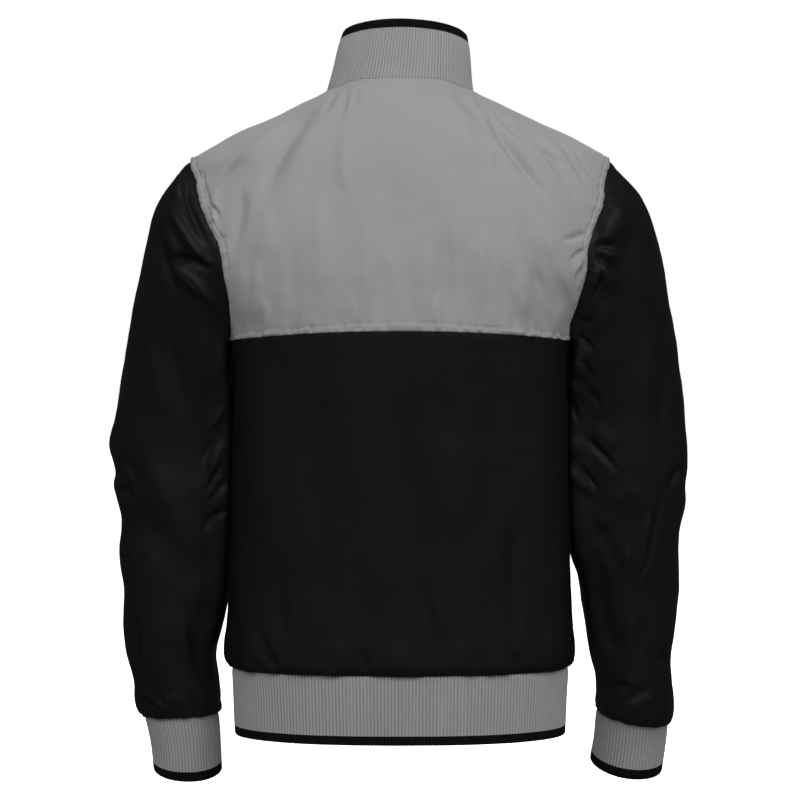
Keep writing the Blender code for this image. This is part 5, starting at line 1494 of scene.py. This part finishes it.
def woven(name, dark, light, roughness, specular, sheen, thread, strength):
    """Plain weave: warp and weft threads as bump on the cloth's own measure, over a soft mottle."""
    material, tree, shader, place = new_material(name, roughness, specular, sheen)
    mottled(tree, shader, place, dark, light, 14.0)
    crossed = node(tree, "ShaderNodeMath", operation="MULTIPLY")
    for socket, direction in enumerate("XY"):
        threads = texture(tree, place, "ShaderNodeTexWave", "UV", wave_type="BANDS",
                          bands_direction=direction, Scale=METRE_BANDS / thread, Distortion=0.6, Detail=1.0)
        link(tree, threads, "Fac", crossed, socket)
    crumple = texture(tree, place, "ShaderNodeTexNoise", Scale=160.0, Detail=4.0, Roughness=0.65)
    weave = bump(tree, crossed, "Value", shader, Strength=strength, Distance=0.00012)
    bump(tree, crumple, "Fac", weave, Strength=0.12, Distance=0.0006)
    return material


def knitted(name, dark, light, groove):
    """Rib knit: painted shade that darkens the colour in each groove between the ribs, fine loops as bump and
    a fibrous mottle.
    """
    material, tree, shader, place = new_material(name, 0.9, 0.10, 0.0, 0.6)
    yarn = mottled(tree, shader, place, dark, light, 420.0)
    # Painted shade: the rib attribute runs from 1 on a crest to 0 in a groove, and the base colour goes from
    # the yarn's toward the darker groove colour there.
    crest = node(tree, "ShaderNodeMapRange", From_Max=0.75)
    link(tree, node(tree, "ShaderNodeAttribute", attribute_name="rib"), "Fac", crest, "Value")
    deep = node(tree, "ShaderNodeMix", data_type="RGBA")
    factor, _, _, _, _, _, low, high = deep.inputs[:8]
    low.default_value = (*groove, 1.0)
    tree.links.new(crest.outputs["Result"], factor)
    tree.links.new(yarn.outputs["Color"], high)
    link(tree, deep, 2, shader, "Base Color")
    loops = texture(tree, place, "ShaderNodeTexWave", wave_type="BANDS", bands_direction="Z", Scale=210.0,
                    Distortion=2.0, Detail=1.0, Detail_Scale=3.0)
    fibres = texture(tree, place, "ShaderNodeTexNoise", Scale=900.0, Detail=3.0, Roughness=0.7)
    over = bump(tree, fibres, "Fac", shader, Strength=0.35, Distance=0.0003)
    bump(tree, loops, "Fac", over, Strength=0.25, Distance=0.0003)
    return material


def hard(name, colour, roughness, metallic):
    material, tree, shader, place = new_material(name, roughness, 0.5, metallic=metallic)
    mottled(tree, shader, place, tuple(value * 0.85 for value in colour), colour, 300.0)
    brush = texture(tree, place, "ShaderNodeTexNoise", Scale=1200.0, Detail=2.0)
    bump(tree, brush, "Fac", shader, Strength=0.15, Distance=0.0001)
    return material


# ---------------------------------------------------------------- the jacket

yoke_cloth = woven("light_grey_weave", dark=(0.262, 0.262, 0.265), light=(0.276, 0.276, 0.279),
                   roughness=0.75, specular=0.2, sheen=0.05, thread=0.00055, strength=0.35)
body_cloth = woven("black_weave", dark=(0.0062, 0.0062, 0.0063), light=(0.0074, 0.0074, 0.0077),
                   roughness=0.62, specular=0.12, sheen=0.0, thread=0.0005, strength=0.3)
sleeve_cloth = woven("black_sleeve_weave", dark=(0.0047, 0.0049, 0.0047), light=(0.0057, 0.0060, 0.0057),
                     roughness=0.52, specular=0.30, sheen=0.0, thread=0.0005, strength=0.25)
# The groove colours of the rib knits are painted shade for the hollows between the ribs, not a different
# yarn.
rib_grey = knitted("grey_rib_knit", dark=(0.265, 0.265, 0.268), light=(0.292, 0.292, 0.295),
                   groove=(0.205, 0.205, 0.208))
rib_black = knitted("black_rib_knit", dark=(0.0044, 0.0044, 0.0046), light=(0.0066, 0.0066, 0.0069),
                    groove=(0.003, 0.003, 0.003))
grey_thread = hard("grey_thread", (0.27, 0.27, 0.273), 0.75, 0.0)
black_thread = hard("black_thread", (0.005, 0.005, 0.005), 0.6, 0.0)
zip_black = hard("zip_black_plastic", (0.010, 0.010, 0.011), 0.42, 0.0)
zip_metal = hard("zip_dark_metal", (0.30, 0.30, 0.31), 0.34, 1.0)

back_yoke, yoke_stitching = build_yoke(yoke_cloth, grey_thread)
back_body = build_back(body_cloth)
front_left, left_seam = build_front("front_left", 1, body_cloth, 31)
front_right, right_seam = build_front("front_right", -1, body_cloth, 41)
zip_stitching = stitches("zip_topstitch", [left_seam, right_seam], black_thread)
sleeve_left = build_sleeve("sleeve_left", 1, SLEEVE_LEFT, sleeve_cloth, 51)
sleeve_right = build_sleeve("sleeve_right", -1, SLEEVE_RIGHT, sleeve_cloth, 61)
bands = build_bands(rib_grey, rib_black)
zip_tapes = build_tapes(zip_black)
zip_teeth = build_teeth(zip_black)

for piece, node_name, slot in (
        (back_yoke, "back_yoke", "yoke_cloth"), (back_body, "back_body", "body_cloth"),
        (front_left, "front_left", "body_cloth"), (front_right, "front_right", "body_cloth"),
        (sleeve_left, "sleeve_left", "sleeve_cloth"), (sleeve_right, "sleeve_right", "sleeve_cloth"),
        (bands["collar"], "collar", "rib_grey"), (bands["cuff_left"], "cuff_left", "rib_grey"),
        (bands["cuff_right"], "cuff_right", "rib_grey"), (bands["hem_band"], "hem_band", "rib_grey"),
        (zip_tapes[0], "zip_tape", "zip_black"), (zip_tapes[1], "zip_tape", "zip_black"),
        (zip_teeth, "zip_tape", "zip_black")):
    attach(piece, JACKET)
    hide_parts(node_name)
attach(yoke_stitching, JACKET)
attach(zip_stitching, JACKET)

for node_name, material in (("zip_slider", zip_metal), ("zip_pull_tab", zip_metal), ("zip_box", zip_black)):
    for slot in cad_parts[node_name].material_slots:
        slot.material = material

# ---------------------------------------------------------------- floor, light and camera

FLOOR = -0.80
CENTRE = Vector((0.0, 0.0, -0.35))
CAMERA_DISTANCE = 2.60
CAMERA_HEIGHT = -0.3436
CAMERA_LENS = 106.2
SENSOR = 36.0
ROOM_LIGHT = 0.35
ROOM_GLOSS = 0.05         # what glossy cloth mirrors of the room
BACKDROP = 1.0

clear_selection()
bpy.ops.mesh.primitive_plane_add(size=40.0, location=(0.0, 0.0, FLOOR))
floor = bpy.context.object
floor.name = "studio_floor"
floor_white, _, floor_shader, _ = new_material("studio_white", 0.9, 0.1)
for socket, value in (("Base Color", grey(0.9)), ("Emission Color", grey(1.0)), ("Emission Strength", 1.0)):
    floor_shader.inputs[socket].default_value = value
floor.data.materials.append(floor_white)
floor.visible_diffuse = False
floor.visible_glossy = False

for name, place, size, power, glossy in (
        ("left_behind", (1.6, 2.3, 1.4), (2.2, 2.2), 30.0, False),
        ("right_behind", (-1.65, 2.25, 1.4), (2.2, 2.2), 43.0, False),
        ("high_behind", (-0.3, 2.4, 1.8), (3.2, 1.6), 34.0, True),
        ("left_in_front", (1.4, -2.2, 1.7), (1.2, 1.6), 34.0, False),
        ("right_in_front", (-1.2, -2.5, 1.2), (1.2, 1.6), 36.0, False)):
    light = bpy.data.lights.new(name, "AREA")
    light.shape = "RECTANGLE"
    light.size, light.size_y = size
    light.energy = power
    softbox = bpy.data.objects.new(name, light)
    bpy.context.scene.collection.objects.link(softbox)
    softbox.location = place
    softbox.rotation_euler = (CENTRE - Vector(place)).to_track_quat("-Z", "Y").to_euler()
    softbox.visible_glossy = glossy

world = bpy.data.worlds.new("studio_light")
bpy.context.scene.world = world
world.use_nodes = True
sky = world.node_tree
rays = sky.nodes.new("ShaderNodeLightPath")
lit = sky.nodes["Background"]
lit.inputs["Color"].default_value = grey(1.0)
lit.inputs["Strength"].default_value = ROOM_LIGHT
for ray, strength in (("Is Glossy Ray", ROOM_GLOSS), ("Is Camera Ray", BACKDROP)):
    other = node(sky, "ShaderNodeBackground", Color=grey(1.0), Strength=strength)
    choice = sky.nodes.new("ShaderNodeMixShader")
    link(sky, rays, ray, choice, 0)
    link(sky, lit, 0, choice, 1)
    link(sky, other, 0, choice, 2)
    lit = choice
link(sky, lit, 0, sky.nodes["World Output"], "Surface")

bpy.context.scene.view_settings.view_transform = "Standard"
camera_data = bpy.data.cameras.new("camera")
camera_data.lens = CAMERA_LENS
camera_data.sensor_width = SENSOR
camera = bpy.data.objects.new("camera", camera_data)
bpy.context.scene.collection.objects.link(camera)
camera.location = (0.0, CAMERA_DISTANCE, CAMERA_HEIGHT)
camera.rotation_euler = (math.pi / 2.0, 0.0, math.pi)
bpy.context.scene.camera = camera
